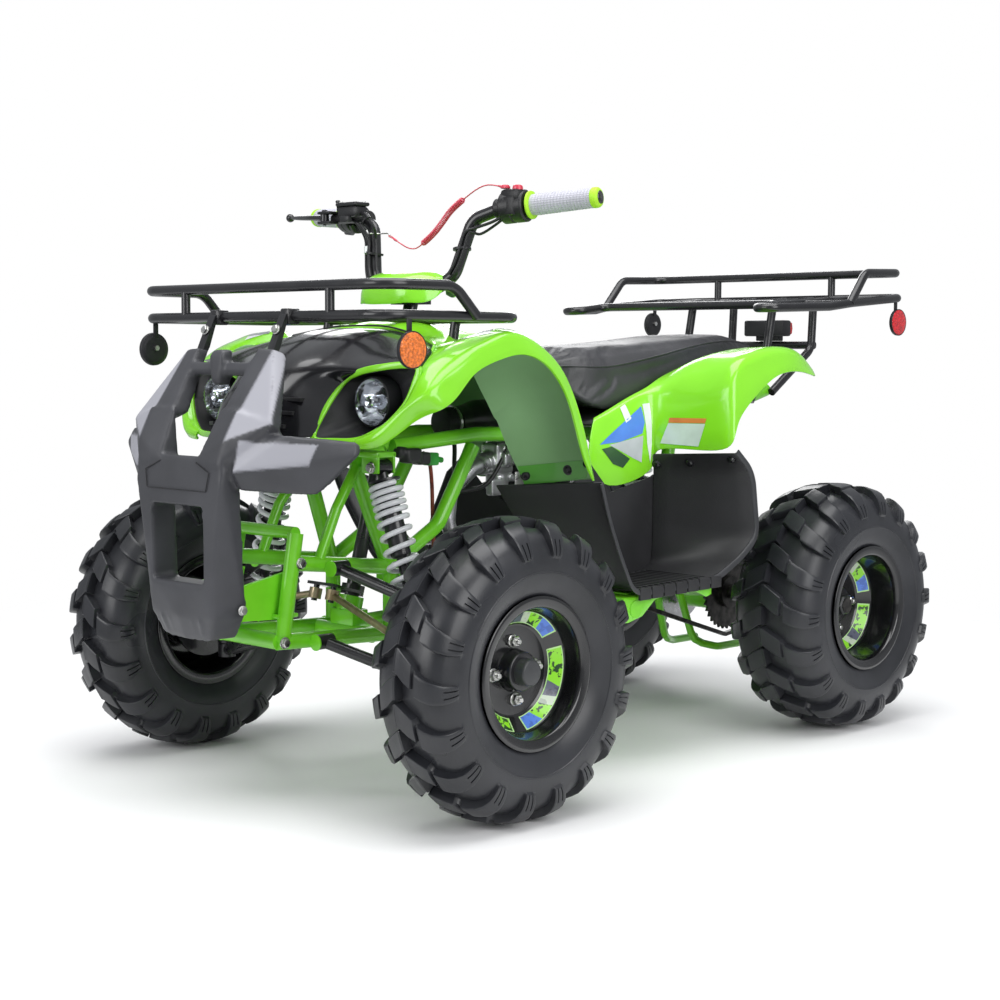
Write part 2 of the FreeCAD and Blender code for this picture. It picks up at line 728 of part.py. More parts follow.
coil_points = [from_stem(110, 21.4, 175.6), from_stem(80, 21.4, 160.6), from_stem(56, 21.4, 137.6),
               from_stem(30, 21.4, 115.6), from_stem(4, 21.4, 102.1)]
tail_points = [from_stem(190, 27.9, 192.4), from_stem(175, 24, 196), from_stem(157, 22, 195.6),
               from_stem(136.8, 21.4, 189), from_stem(110, 21.4, 175.6)]
foot_points = [from_stem(4, 21.4, 102.1), from_stem(-10, 21.4, 94.8), from_stem(-28, 21.4, 95.5),
               from_stem(-46, 21.4, 102.5), from_stem(-64, 21.4, 112)]


def tether_clip():
    """The cord's red switch cap on the drum, and the spring hook that reaches the right riser."""
    cap_low = Vector(*from_stem(199, 31.4, 188.3))
    tail_start = Vector(*tail_points[0])
    tail_way = (Vector(*tail_points[1]) - tail_start).normalize()
    cap = joined([rod(tuple(cap_low), tuple(cap_low + up_way * 6), 8),
                  rod(tuple(tail_start), tuple(tail_start - tail_way * 7), 2)])
    hook_start = Vector(*foot_points[-1])
    hook_way = (hook_start - Vector(*foot_points[-2])).normalize()
    hook_bend = hook_start + hook_way * 15
    hook = joined([rod(tuple(hook_start), tuple(hook_bend), 1.6),
                   rod(tuple(hook_bend), (-109.6, hook_bend.y, hook_bend.z), 1.6)])
    return Part.makeCompound([cap, hook])


piece("steering_stem", steering_stem())
piece("tether_coil", cord(coil_points, size.cord_coil_radius))
cord_ends = [cord(points, size.cord_radius) for points in (tail_points, foot_points)]
piece("tether_loop", Part.makeCompound(cord_ends))
piece("tether_clip", tether_clip())
piece("handlebar", handlebar())
piece("handlebar_cover", handlebar_cover())
piece("grips", both_sides(grip()))
piece("bar_controls", bar_controls())
piece("brake_lever", brake_lever())

# Frame and suspension

shock_top = (132, -472, 540)
shock_low = (215, -456, 250)


def footrest_z(y):
    """Height of the footrest bracket's top, just under the footwell's floor."""
    return size.footwell_floor_z + 6 * (y + 60) / 218 - size.seat_gap


def frame():
    """Green tube frame: twin front rails, tower for the springs, cradle and seat rails."""
    w = size.frame_half_width
    eye_y = shock_top[1]
    r = size.frame_tube_radius
    half = [tube([(w, -645, 262), (w, -345, 250), (w + 30, -250, 246), (w + 30, 160, 246), (w + 30, 260, 340),
                  (w + 10, 328, 558.4)], r, bend=60),
            tube([(w, -612, 388), (w, -404, 366), (w, -290, 430), (w, -205, 564.6)], r, bend=50),
            tube([(w, -606, 436), (w, -634, 262)], r),
            tube([(w, -400, 366), (w, -400, 252)], r),
            tube([(62, -412, 566), (26, -340, 672)], r),
            tube([(w, -404, 366), (62, -474, 548), (60, -412, 566)], r, bend=40),
            block((w - 8, eye_y - 22, 556), (shock_top[0] + 14, eye_y + 22, 566)),
            block((shock_top[0] - 26, eye_y - 20, 530), (shock_top[0] + 14, eye_y - 14.3, 566)),
            block((shock_top[0] - 26, eye_y + 14.3, 530), (shock_top[0] + 14, eye_y + 20, 566)),
            rod((shock_top[0], eye_y - 20, shock_top[2]), (shock_top[0], eye_y + 20, shock_top[2]), 6)]
    cross = [rod((-w, -606, 436), (w, -606, 436), r * 0.8), rod((-w, -640, 262), (w, -640, 262), r),
             rod((-w, -440, 252), (w, -440, 252), r), rod((-60, -412, 566), (60, -412, 566), r),
             block((-30, -446, 262), (30, -410, 290)), rod((-w - 30, -200, 246), (w + 30, -200, 246), r),
             rod((-w - 30, 160, 246), (w + 30, 160, 246), r)]
    half += [slab([(-630, 296), (-721.7, 300), (-726.7, 350), (-612, 372)], 50, 58),
             block((46, -642, 300), (w, -600, 306)),
             tube([(w + 30, 20, 246), (236, 20, 262), (236, 20, 296)], r, bend=30),
             slab([(-45, 300), (85, 303.6), (85, footrest_z(85)), (-45, footrest_z(-45))], 196, 300)]
    left = joined(half)
    bearings = [rod(tuple(stem_foot - stem_way * 32), tuple(stem_foot - stem_way * 6), 22),
                rod(tuple(stem_foot + stem_way * 360), tuple(stem_foot + stem_way * 392), 24)]
    bore = rod(tuple(stem_foot - stem_way * 40), tuple(stem_top), size.stem_radius + size.running_gap)
    return joined([left, mirrored(left)] + cross + bearings).cut(bore)


def seat_rails():
    """Green rails from the tower to the rear rack, with cross tubes, shock clevis and the cover's tabs."""
    w = size.frame_half_width
    r = size.frame_tube_radius
    half = [tube([(61, -384.5, 569), (w, -200, 585), (w + 10, 330, 575), (w + 10, 640, 655)], r, bend=40),
            block((16, 318, 536), (21, 352, 572)),
            block((76, -44, 586), (106, -36, 620.4)),
            block((w + 2, 536, 636), (w + 18, 552, 710.2))]
    cross = [rod((-w - 10, 330, 572), (w + 10, 330, 572), r), rod((-w - 10, 630, 652), (w + 10, 630, 652), r),
             rod((-21, 338, 545), (21, 338, 545), 6)]
    left = joined(half)
    return joined([left, mirrored(left)] + cross)


def suspension_arms():
    """Upper and lower wishbones of the left side, ending in the eyes round the kingpin."""
    w = size.frame_half_width
    r = size.arm_tube_radius
    y = size.front_axle_y
    x = size.kingpin_x
    arms = []
    root = w + size.frame_tube_radius + 12
    for front, back, high in (((root, -568, 258), (root, -380, 250), size.kingpin_low_z),
                              ((root, -536, 376), (root, -380, 364), size.kingpin_high_z)):
        eye = rod((x, y, high - 12), (x, y, high + 12), 15)
        arms += [tube([front, (x - 8, y - 3, high)], r), tube([back, (x - 8, y + 3, high)], r), eye]
        for px, py, pz in (front, back):
            arms.append(rod((px, py - 16, pz), (px, py + 16, pz), 12))
    pin = rod((x, y, size.kingpin_low_z), (x, y, size.kingpin_high_z), size.kingpin_radius)
    sx, sy, sz = shock_low
    mount = [block((sx - 9, sy - 52, sz - 44), (sx + 9, sy + 34, sz - 34)),
             block((sx - 12, sy - 20, sz - 40), (sx + 12, sy - 14.3, sz + 12)),
             block((sx - 12, sy + 14.3, sz - 40), (sx + 12, sy + 20, sz + 12)),
             rod((sx, sy - 20, sz), (sx, sy + 20, sz), 6)]
    return joined(arms + [pin] + mount)


arms_shape = suspension_arms()
piece("frame", frame())
piece("seat_rails", seat_rails())
piece("suspension_arms", both_sides(arms_shape))


# Racks

def front_rack():
    """Front carrier: bent loop, raised rail on stanchions, slats and feet."""
    w = size.front_rack_half_width
    z = size.front_rack_z
    top = size.front_rack_rail_z
    front = size.front_rack_front_y
    back = size.front_rack_back_y
    r = size.rack_tube_radius
    bend = size.rack_bend_radius
    half = [tube([(0, front, z), (w, front, z), (w + 8, back, z), (0, back, z)], r, bend=bend),
            tube([(0, front, top), (w, front, top), (w + 11, -492, top), (w + 14, -446, z)], r, bend=bend),
            rod((188, front, z), (188, front, top), r * 0.8)]
    for x in (62, 188):
        half.append(rod((x, front, z), (x, back, z), size.rack_slat_radius))
    half.append(rod((164, back, z), (164, back - 8, 741), r))
    plate = [[Vector(x, y, z_at) for x, y in ((86, near), (100, near), (100, near + 7), (86, near + 7))]
             for near, z_at in ((-672.4, 716), (-663.7, 735), (front - 12, z + 5))]
    half.append(loft(plate))
    left = joined(half)
    cross = rod((-w, -480, z), (w, -480, z), size.rack_slat_radius)
    return joined([left, mirrored(left), cross])


def rear_rack():
    """Rear carrier: loop with forward horns, raised rail, slats, uprights and cross bar."""
    flat = math.cos(math.pi / size.tube_sides)
    foot_x = size.frame_half_width + 10 + (size.frame_tube_radius + size.rack_tube_radius) * flat + 1.0
    w = size.rear_rack_half_width
    r = size.rack_tube_radius
    back = size.rear_rack_back_y
    half = [tube([(0, 484, 826), (228, 484, 826), (226, 404, 817), (268, 404, 817), (306, 545, 822),
                  (w, 600, 830), (w, back, 844), (0, back, 844)], r, bend=20),
            tube([(w, 594, 829), (w - 2, 648, 890), (w, back, 894), (0, back, 894)], r, bend=28),
            rod((150, back, 844), (150, back, 894), r * 0.8),
            tube([(foot_x, back, 844), (foot_x, back - 6, 740), (foot_x, 632, 650)], r, bend=30),
            tube([(foot_x, 634, 834), (foot_x, 610, 720), (foot_x, 560, 632)], r, bend=30)]
    for x in (40, 110, 190):
        half.append(rod((x, 484, 826), (x, back, 844), size.rack_slat_radius))
    left = joined(half)
    cross = [rod((-112, back - 5, 748), (112, back - 5, 748), r)]
    return joined([left, mirrored(left)] + cross)


piece("front_rack", front_rack())
piece("rear_rack", rear_rack())


# Bodywork

def fender_rows():
    """Left front fender: stations from under the headlamp over the wheel to the flange on the footwell."""
    edge = size.fender_edge_x
    stations = [
        # inner edge, shoulder, outer edge at the top, and the lip's foot, as (x, y, z)
        ((230, -577, 605), (240, -588, 604), (252, -590, 596), (258, -580, 584)),
        ((251, -566, 619), (268, -576, 628), (290, -572, 634), (300, -556, 616)),
        ((275, -552, 648), (292, -560, 658), (324, -556, 664), (edge - 8, -534, 638)),
        ((283, -541, 680), (300, -538, 692), (328, -526, 692), (edge - 2, -497, 662)),
        ((266, -500, 716), (298, -500, 722), (330, -490, 714), (edge, -464, 690)),
        ((230, -450, 736), (290, -446, 746), (332, -438, 740), (edge, -424, 710)),
        ((205, -400, 742), (284, -396, 762), (333, -388, 758), (edge, -378, 723)),
        ((196, -345, 726), (276, -340, 768), (331, -334, 760), (edge, -336, 727)),
        ((196, -305, 672), (272, -290, 742), (329, -284, 740), (edge, -293, 714)),
        ((200, -272, 620), (272, -240, 704), (328, -234, 704), (edge, -254, 684)),
        ((203, -244, 569), (272, -208, 640), (328, -198, 645), (edge, -225, 646)),
        ((206, -224, 533), (276, -190, 566), (330, -174, 574), (edge, -196, 560)),
        ((208, -210, 506.5), (280, -186, 512.8), (334, -160, 516.8), (edge, -176, 517.2)),
    ]
    return [[Vector(*point) for point in station] for station in stations]


def front_body():
    """One green moulding: both front fenders, the strips beside the hood and the tank's cover."""
    wall = size.panel_wall
    down = Vector(0, 0, -wall)
    corner = Vector(-0.7 * wall, 0, -0.7 * wall)
    rows = fender_rows()
    crest = stem_top.z - size.cover_drop
    strip_z = {5: 762, 6: 770, 7: 768, 8: 716, 9: 676}
    flank = []
    for index in range(5, 10):
        edge = rows[index][0]
        flank.append([Vector(100, edge.y + 8, strip_z[index]), Vector(150, edge.y + 4, edge.z + 14), edge])
    crown = {6: crest - 3, 7: crest - 1.6, 8: crest - 1, 9: crest}
    cover = []
    for index in range(6, 10):
        shoulder = flank[index - 5][0]
        cover.append([Vector(0, shoulder.y, crown[index]), Vector(66, shoulder.y, crown[index] - 5),
                      shoulder])
    cover += [[Vector(0, y, top), Vector(66, y, top - 6), Vector(104, y, low)]
              for y, top, low in ((-140, 768, 640), (-40, 740, 625), (5, 700, 610))]
    half = joined([panel(rows, [down, down, Vector(-0.55 * wall, 0, -wall), Vector(-wall, 0, -0.2 * wall)]),
                   panel(flank, [corner, down, down]), panel(cover, [down, corner, corner])])
    stem_hole = rod(tuple(stem_foot), tuple(stem_foot + stem_way * 1000), size.stem_radius + 8)
    return joined([half, mirrored(half)]).cut(stem_hole)


def front_cowl():
    """Black hood with a deep recess for each headlamp and a lower grille face."""
    sections = []
    for y, half, low, high in ((-382.3, 84, 712, 774), (-470, 96, 640, 752), (-560, 104, 590, 716),
                               (-640, 92, 560, 668), (-668, 70, 560, 610)):
        sections.append([Vector(half, y, low + 30), Vector(half * 0.75, y, high - 8),
                         Vector(-half * 0.75, y, high - 8), Vector(-half, y, low + 30),
                         Vector(-half * 0.8, y, low), Vector(half * 0.8, y, low)])
    hood = loft(sections)
    lamp = rod((size.headlamp_x, -556, size.headlamp_z), (size.headlamp_x, -486, size.headlamp_z),
               size.headlamp_radius + 8)
    arm = block((80, -530, 640), (size.headlamp_x - 20, -500, 690))
    return joined([hood, lamp, mirrored(lamp), arm, mirrored(arm)]).cut(
        joined([lamp_bowl(size.seat_gap), mirrored(lamp_bowl(size.seat_gap))]))


def lamp_bowl(gap):
    """The left headlamp's body, made larger by a gap where it is used as a cutter."""
    x, y, z = size.headlamp_x, size.headlamp_y, size.headlamp_z
    return rod((x, y - 22 - gap, z), (x, y + 38 + gap, z), size.headlamp_radius + gap)


def headlamp():
    """Left headlamp: round bowl with a crowned lens."""
    x, y, z = size.headlamp_x, size.headlamp_y, size.headlamp_z
    bowl = rod((x, y - 14, z), (x, y + 38, z), size.headlamp_radius)
    lens = Part.makeSphere(90, Vector(x, y - 14 + 76, z)).common(
        rod((x, y - 40, z), (x, y, z), size.headlamp_radius - 2))
    return joined([bowl, lens])


def rear_body():
    """One green moulding: deck under the seat, side panels and both rear fenders."""
    wall = size.panel_wall
    stations = [
        # deck beside the seat, inner edge, shoulder, outer edge at the top, and the lip's foot
        ((129.5, 60, 597.5), (134, 60, 610), (150, 40, 596), (170, 20, 570), (176, 10, 548)),
        ((129.5, 140, 629.5), (134, 140, 642), (156, 128, 626), (196, 120, 590), (206, 112, 548)),
        ((129.5, 200, 647.4), (134, 200, 662), (170, 190, 660), (262, 186, 640), (300, 184, 548)),
        ((129.5, 250, 661), (134, 250, 678), (200, 246, 704), (322, 240, 700), (338, 262, 590)),
        ((129.5, 310, 675.4), (138, 310, 694), (210, 304, 724), (326, 296, 732), (342, 300, 650)),
        ((129.5, 370, 690.2), (142, 370, 710), (214, 366, 734), (326, 360, 741), (342, 352, 676)),
        ((125, 430, 708.0), (146, 430, 722), (214, 430, 738), (324, 430, 738), (340, 400, 690)),
        ((110, 490, 712.6), (150, 490, 726), (210, 496, 722), (306, 500, 700), (326, 480, 684)),
    ]
    rows = []
    for station in stations:
        deck = Vector(*station[0])
        rows.append([Vector(0, deck.y, deck.z)] + [Vector(*point) for point in station])
    tail = [[Vector(0, y, z), Vector(half, y, z)]
            for y, z, half in ((490, 712.6, 110), (560, 715.6, 95), (620, 698.6, 80))]
    down = Vector(0, 0, -wall)
    drops = [down, Vector(0.6 * wall, 0, -wall), Vector(wall, 0, -wall), down,
             Vector(-0.55 * wall, 0, -wall), Vector(-wall, 0, -0.2 * wall)]
    half = joined([panel(rows, drops), panel(tail, down)])
    return joined([half, mirrored(half)])


def seat():
    """Long saddle with a low nose, a dished middle and a raised back end."""
    sections = []
    for y, half, top, foot in ((6, 60, 722, 690), (40, 100, 736, 640), (110, 122, 742, 620),
                               (170, 128, 744, 640), (260, 128, 750, 664), (360, 126, 758, 688),
                               (440, 122, 764, 712), (560, 98, 762, 716), (624, 84, 738, 698)):
        sections.append([Vector(half, y, top - 30), Vector(half * 0.8, y, top - 8), Vector(0, y, top),
                         Vector(-half * 0.8, y, top - 8), Vector(-half, y, top - 30), Vector(-half, y, foot),
                         Vector(half, y, foot)])
    return loft(sections)


def front_bumper():
    """Moulded bumper: lower body with a square opening, two raked posts, a top bar and two wings."""
    body = []
    for z, half, front, back in ((273, 60, -776, -716), (300, 80, -782, -722), (404, 86, -786, -732),
                                 (485, 98, -788, -738), (533, 114, -786, -742), (566, 112, -782, -744)):
        body.append([Vector(half, front + 10, z), Vector(half * 0.6, front, z), Vector(-half * 0.6, front, z),
                     Vector(-half, front + 10, z), Vector(-half, back, z), Vector(half, back, z)])
    body = loft(body).cut(block((-67, -820, 367), (67, -700, 485)))
    post = []
    for z, outer, inner, front, back in ((560, 112, 48, -782, -744), (630, 98, 62, -746, -712),
                                         (735, 116, 76, -684, -664)):
        post.append([Vector(outer, front, z), Vector(inner, front, z), Vector(inner, back, z),
                     Vector(outer, back, z)])
    post = loft(post)
    wing = []
    for x, lean, front, back, low, high in ((100, 0, -786, -748, 512, 590), (196, -6, -776, -740, 512, 600),
                                            (300, 2, -720, -704, 560, 596)):
        wing.append([Vector(x, front, low), Vector(x + lean, front, high), Vector(x + lean, back, high),
                     Vector(x, back, low)])
    wing = loft(wing)
    bar = block((-90, -704, 684), (90, -684, 716))
    return joined([body, post, mirrored(post), wing, mirrored(wing), bar])


def footwell():
    """Left footwell: skewed front guard, floor, inner wall and rear guard in one moulding."""
    low_x = size.footwell_inner_x
    high_x = size.footwell_outer_x
    floor = size.footwell_floor_z
    wall = size.panel_wall
    toe = -62
    heel = rear_axle_y - size.tyre_radius - size.wheel_clearance
    outside = [(toe, floor), (heel - 125, floor + 6), (heel - 48, floor + 43), (heel, floor + 79),
               (heel - 19, floor + 197), (heel - 68, floor + 228)]
    inside = [(heel - 68, floor + 228 - wall), (heel - 19 - wall, floor + 193), (heel - wall, floor + 83),
              (heel - 50, floor + 49), (heel - 127, floor + 6 + wall), (toe, floor + wall)]
    shell = slab(outside + inside, low_x, high_x)
    web = slab(outside + [(-150, 524), (-238, 498)], low_x, low_x + wall)
    guard = panel([[Vector(low_x, -240, 498.6), Vector(250, -203, 505), Vector(high_x, -168, 511)],
                   [Vector(low_x, -190, 445), Vector(250, -165, 445), Vector(high_x, -140, 445)],
                   [Vector(low_x, toe, floor), Vector(250, toe, floor), Vector(high_x, toe, floor)]],
                  Vector(0, wall, 1))
    return joined([shell, web, guard])


left_footwell = footwell()
piece("front_body", front_body())
piece("front_cowl", front_cowl())
piece("rear_body", rear_body())
piece("seat", seat())
piece("front_bumper", front_bumper())
piece("footwell_left", left_footwell)
piece("footwell_right", mirrored(left_footwell))
piece("headlamps", both_sides(headlamp()))

# Engine and what hangs on it

def engine():
    """Small horizontal engine: crankcase with round covers, and a finned cylinder towards the front."""
    case = [block((-90, -60, 262), (90, 58, 400)), block((-90, 50, 262), (50, 150, 400)),
            rod((-105, 0, 330), (105, 0, 330), 58), rod((-100, 100, 320), (48, 100, 320), 48),
            rod((40, 100, 320), (66, 100, 320), 10), rod((59.5, 100, 320), (64.5, 100, 320), 24.4),
            block((-48, -250, 300), (48, -50, 372))]
    fins = [block((-62, -250 + 16 * i, 288), (62, -244 + 16 * i, 384)) for i in range(9)]
    head = block((-52, -290, 296), (52, -250, 376))
    cross_top = 246 + size.frame_tube_radius + size.seat_gap
    feet = [block((-40, 140, cross_top), (40, 168, 290)), block((-12, -212, cross_top), (12, -188, 300))]
    return joined(case + fins + [head] + feet)


def intake():
    """Carburettor on its bent manifold, and the air cleaner behind it."""
    pipe = tube([(20, -180, 384.2), (20, -180, 430), (20, -110, 470), (20, -60, 474)], 13, bend=30)
    bowl = rod((20, -80, 446), (20, -80, 500), 22)
    cleaner = rod((0, -40, 492), (0, 90, 500), 44)
    return joined([pipe, bowl, cleaner, rod((20, -60, 474), (20, -20, 480), 18)])


def exhaust():
    """Header pipe under the head, and the silencer along the right side at the back."""
    pipe = tube([(-20, -270, 295.8), (-20, -270, 206), (-142, -180, 204), (-142, 240, 232), (-160, 410, 560)],
                13, bend=60)
    can_start = Vector(-164, 400, 560)
    can_end = Vector(-168, 640, 640)
    way = (can_end - can_start).normalize()
    can = rod(tuple(can_start), tuple(can_end), 38)
    tip = rod(tuple(can_end - way * 2), tuple(can_end + way * 30), 12)
    return joined([pipe, can, tip]).cut(rod(tuple(can_end - way * 1), tuple(can_end + way * 31), 10))


def swing_arm():
    """Rear swing arm with the axle's bearing carrier and the guard tube under the sprocket."""
    w = 60
    r = size.frame_tube_radius
    axle_y = rear_axle_y
    half = [tube([(w + 12, 210, 300), (w - 26, 330, 262), (w - 32, axle_y - 29, axle_z + 2)], r),
            tube([(w - 30, axle_y - 119, axle_z + 12), (w - 22, axle_y - 79, 140), (w, axle_y - 29, 126),
                  (w, axle_y + 51, 126)], 8, bend=40)]
    half.append(block((13, 306, 262), (18, 346, 312)))
    left = joined(half)
    shock_cross = [rod((-30, 326, 264), (30, 326, 264), 10), rod((-18, 326, 300), (18, 326, 300), 6)]
    carrier = rod((-44, axle_y, axle_z), (44, axle_y, axle_z), 40)
    bore = rod((-60, axle_y, axle_z), (60, axle_y, axle_z), size.axle_radius + size.running_gap)
    pivot_half = size.frame_half_width + 30 - size.frame_tube_radius * tube_flat - size.seat_gap
    pivot = rod((-pivot_half, 210, 300), (pivot_half, 210, 300), 15)
    return joined([left, mirrored(left), carrier, pivot] + shock_cross).cut(bore)


def damper():
    """Left front damper: body, rod, the two collars that hold the spring, and the eyes at both ends."""
    top = Vector(*shock_top)
    low = Vector(*shock_low)
    way = (low - top).normalize()
    half_eye = Vector(0, 14, 0)
    seat_drop = size.spring_wire_radius + size.seat_gap
    body = joined([rod(tuple(top + way * 28), tuple(top + way * 150), 17),
                   rod(tuple(top + way * 8), tuple(top + way * 30), 9),
                   rod(tuple(top + way * 140), tuple(low - way * 8), 9),
                   rod(tuple(top + way * 21), tuple(top + way * (30 - seat_drop)), 27),
                   rod(tuple(low - way * (70 - seat_drop)), tuple(low - way * 61), 27),
                   rod(tuple(top - half_eye), tuple(top + half_eye), 13),
                   rod(tuple(low - half_eye), tuple(low + half_eye), 13)])
    bolts = joined([rod(tuple(top - half_eye * 2), tuple(top + half_eye * 2), 6.05),
                    rod(tuple(low - half_eye * 2), tuple(low + half_eye * 2), 6.05)])
    return body.cut(bolts)


def coil(top, low, radius, wire, turns, chords):
    """A coil spring of short straight chords along the line from top to low."""
    way = low - top
    length = way.Length
    way.normalize()
    side = way.cross(Vector(0, 1, 0)).normalize()
    other = way.cross(side)
    count = int(turns * chords)
    sections = []
    for step in range(count + 1):
        angle = 2 * math.pi * step / chords
        out = side * math.cos(angle) + other * math.sin(angle)
        centre = top + way * (length * step / count) + out * radius
        sections.append([centre + out * wire, centre + way * wire, centre - out * wire, centre - way * wire])
    return loft(sections)


def front_spring():
    """Left front coil spring round the damper."""
    top = Vector(*shock_top)
    low = Vector(*shock_low)
    way = (low - top).normalize()
    wire = size.spring_wire_radius
    return coil(top + way * 30, low - way * 70, size.spring_radius - wire, wire, size.spring_turns, 8)


def rear_shock():
    """Single rear shock between the frame's clevis and the swing arm's, with its spring."""
    top = Vector(0, 338, 545)
    low = Vector(0, 326, 300)
    way = (low - top).normalize()
    body = [rod(tuple(top), tuple(top + way * 110), 9),
            rod(tuple(top + way * 100), tuple(low - way * 20), 19),
            rod(tuple(low - way * 24), tuple(low), 9),
            rod(tuple(top + way * 22), tuple(top + way * 28), 27),
            rod(tuple(low - way * 30), tuple(low - way * 24), 27),
            rod(tuple(top - Vector(12.7, 0, 0)), tuple(top + Vector(12.7, 0, 0)), 13),
            rod(tuple(low - Vector(12.7, 0, 0)), tuple(low + Vector(12.7, 0, 0)), 13),
            coil(top + way * 24, low - way * 26, 23, 4.5, 7, 8)]
    bolts = [rod(tuple(end - Vector(30, 0, 0)), tuple(end + Vector(30, 0, 0)), 6.05) for end in (top, low)]
    return joined(body).cut(joined(bolts))


def chain_loop(big, small):
    """Outline round the sprocket and the engine's output, as (y, z) points."""
    outline = []
    for centre_y, centre_z, radius, start, end in ((100, 320, small, 255, 105),
                                                   (rear_axle_y, axle_z, big, 100, -95)):
        for step in range(9):
            angle = math.radians(start + (end - start) * step / 8)
            outline.append((centre_y + radius * math.cos(angle), centre_z + radius * math.sin(angle)))
    return outline


def chain():
    """Drive chain as one fixed loop."""
    x = size.sprocket_x
    big = size.sprocket_radius + 15
    small = 34
    link = 8
    outer = slab(chain_loop(big, small), x - 5, x + 5)
    return outer.cut(slab(chain_loop(big - link, small - link), x - 6, x + 6))


piece("engine", engine())
piece("intake", intake())
piece("exhaust", exhaust())
piece("swing_arm", swing_arm())
piece("front_dampers", both_sides(damper()))
piece("front_springs", both_sides(front_spring()))
piece("rear_shock", rear_shock())
piece("chain", chain())

# Lamps and reflectors

def front_reflector():
    """Round amber side reflector on a strap under the front rack."""
    y = size.front_rack_front_y + 37
    top = size.front_rack_z - size.rack_tube_radius * tube_flat - size.seat_gap
    x = size.front_rack_half_width
    disc = rod((x + 6, y, 732), (x + 18, y, 732), size.reflector_radius)
    strap = block((x, y - 6, 732), (x + 6, y + 6, top))
    return joined([disc, strap])


def rear_reflector():
    """Round red side reflector on a strap under the rear rack."""
    y = size.rear_rack_back_y - 26
    x = size.rear_rack_half_width
    top = 830 + 14 * (y - 604) / 176 - size.rack_tube_radius - size.seat_gap
    disc = rod((x + 3, y, 792), (x + 15, y, 792), size.tail_reflector_radius)
    strap = block((x - 3, y - 4, 792), (x + 3, y + 4, top))
    return joined([disc, strap])


def tail_light():
    """Lamp box with a rounded lens, on its bracket over the rear rack's cross bar."""
    low = 748 + size.rack_tube_radius + size.seat_gap
    back = size.rear_rack_back_y
    foot = block((-30, back - 20, low), (30, back - 2, low + 14))
    box = block((-52, back - 34, low + 10), (52, back - 4, low + 44))
    profile = [(back - 4, low + 12), (back + 6, low + 18), (back + 6, low + 36), (back - 4, low + 42)]
    lens = slab(profile, -48, 48)
    return joined([foot, box, lens])


piece("reflectors_front", both_sides(front_reflector()))
piece("reflectors_rear", both_sides(rear_reflector()))
piece("tail_light", tail_light())


# Check every object, then write one file for each sub-part.

doc.recompute()
for thing in doc.Objects:
    bad = [word for word in thing.State if word in ("Invalid", "Error")]
    if bad:
        raise RuntimeError("%s is %s" % (thing.Label, ", ".join(bad)))
for thing in made:
    shape = thing.Shape
    if shape.isNull() or not shape.isValid():
        raise RuntimeError("%s has no valid shape" % thing.Label)
os.makedirs("parts", exist_ok=True)
for thing in made:
    thing.Shape.exportStep("parts/%s.step" % thing.Label)
print("wrote", len(made), "sub-parts")
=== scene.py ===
import math

import bmesh
import bpy
import numpy as np
from mathutils import Matrix, Vector
from mathutils.bvhtree import BVHTree


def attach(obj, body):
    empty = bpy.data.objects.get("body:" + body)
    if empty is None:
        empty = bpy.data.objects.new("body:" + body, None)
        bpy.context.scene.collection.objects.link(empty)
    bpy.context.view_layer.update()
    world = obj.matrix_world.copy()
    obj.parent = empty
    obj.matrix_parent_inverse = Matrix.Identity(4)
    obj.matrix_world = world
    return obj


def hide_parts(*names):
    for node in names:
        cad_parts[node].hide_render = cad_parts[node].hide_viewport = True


# A small green four-wheeled quad bike. Sizes are in millimetres and turn into metres in each mesh.
# +Z is up, -Y is the front, +X is the rider's left, and the floor is z = 0.

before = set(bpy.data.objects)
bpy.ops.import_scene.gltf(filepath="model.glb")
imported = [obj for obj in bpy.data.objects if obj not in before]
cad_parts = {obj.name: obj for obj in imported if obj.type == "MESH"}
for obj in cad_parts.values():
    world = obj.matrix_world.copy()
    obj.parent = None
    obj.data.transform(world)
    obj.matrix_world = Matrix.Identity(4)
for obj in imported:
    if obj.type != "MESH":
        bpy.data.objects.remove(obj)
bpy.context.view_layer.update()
MM = 0.001
# Points closer than the first are one point, and an edge shorter than the second is taken out.
WELD, SLIVER = 0.00002, 0.000005


# Camera, daylight and floor: a long lens at hub height ahead of the left front wheel, a white sweep
# that only the camera sees, soft boxes over and beside the bike, and a pale floor.

CAMERA_PLACE = (2405.8, -2498.4, 728.0)
CAMERA_TURN = 44.61
CAMERA_DROP = 4.53
CAMERA_ROLL = 0.28
LENS = 66.75

camera_data = bpy.data.cameras.new("Camera")
camera_data.lens = LENS
camera_data.sensor_width = 36.0
camera = bpy.data.objects.new("Camera", camera_data)
bpy.context.scene.collection.objects.link(camera)
aim = Matrix.Rotation(math.radians(CAMERA_TURN), 4, "Z") @ Matrix.Rotation(math.radians(90 - CAMERA_DROP),
    4, "X")
camera.matrix_world = (Matrix.Translation(Vector(CAMERA_PLACE) * MM) @ aim
    @ Matrix.Rotation(math.radians(CAMERA_ROLL), 4, "Z"))
bpy.context.scene.camera = camera
bpy.context.scene.view_settings.view_transform = "Standard"


def add_node(tree, kind, **values):
    """A new shader node in a tree; each value goes to the input of that name, spaced for underscored."""
    node = tree.nodes.new("ShaderNode" + kind)
    for name, value in values.items():
        node.inputs[name.replace("_", " ")].default_value = value
    return node


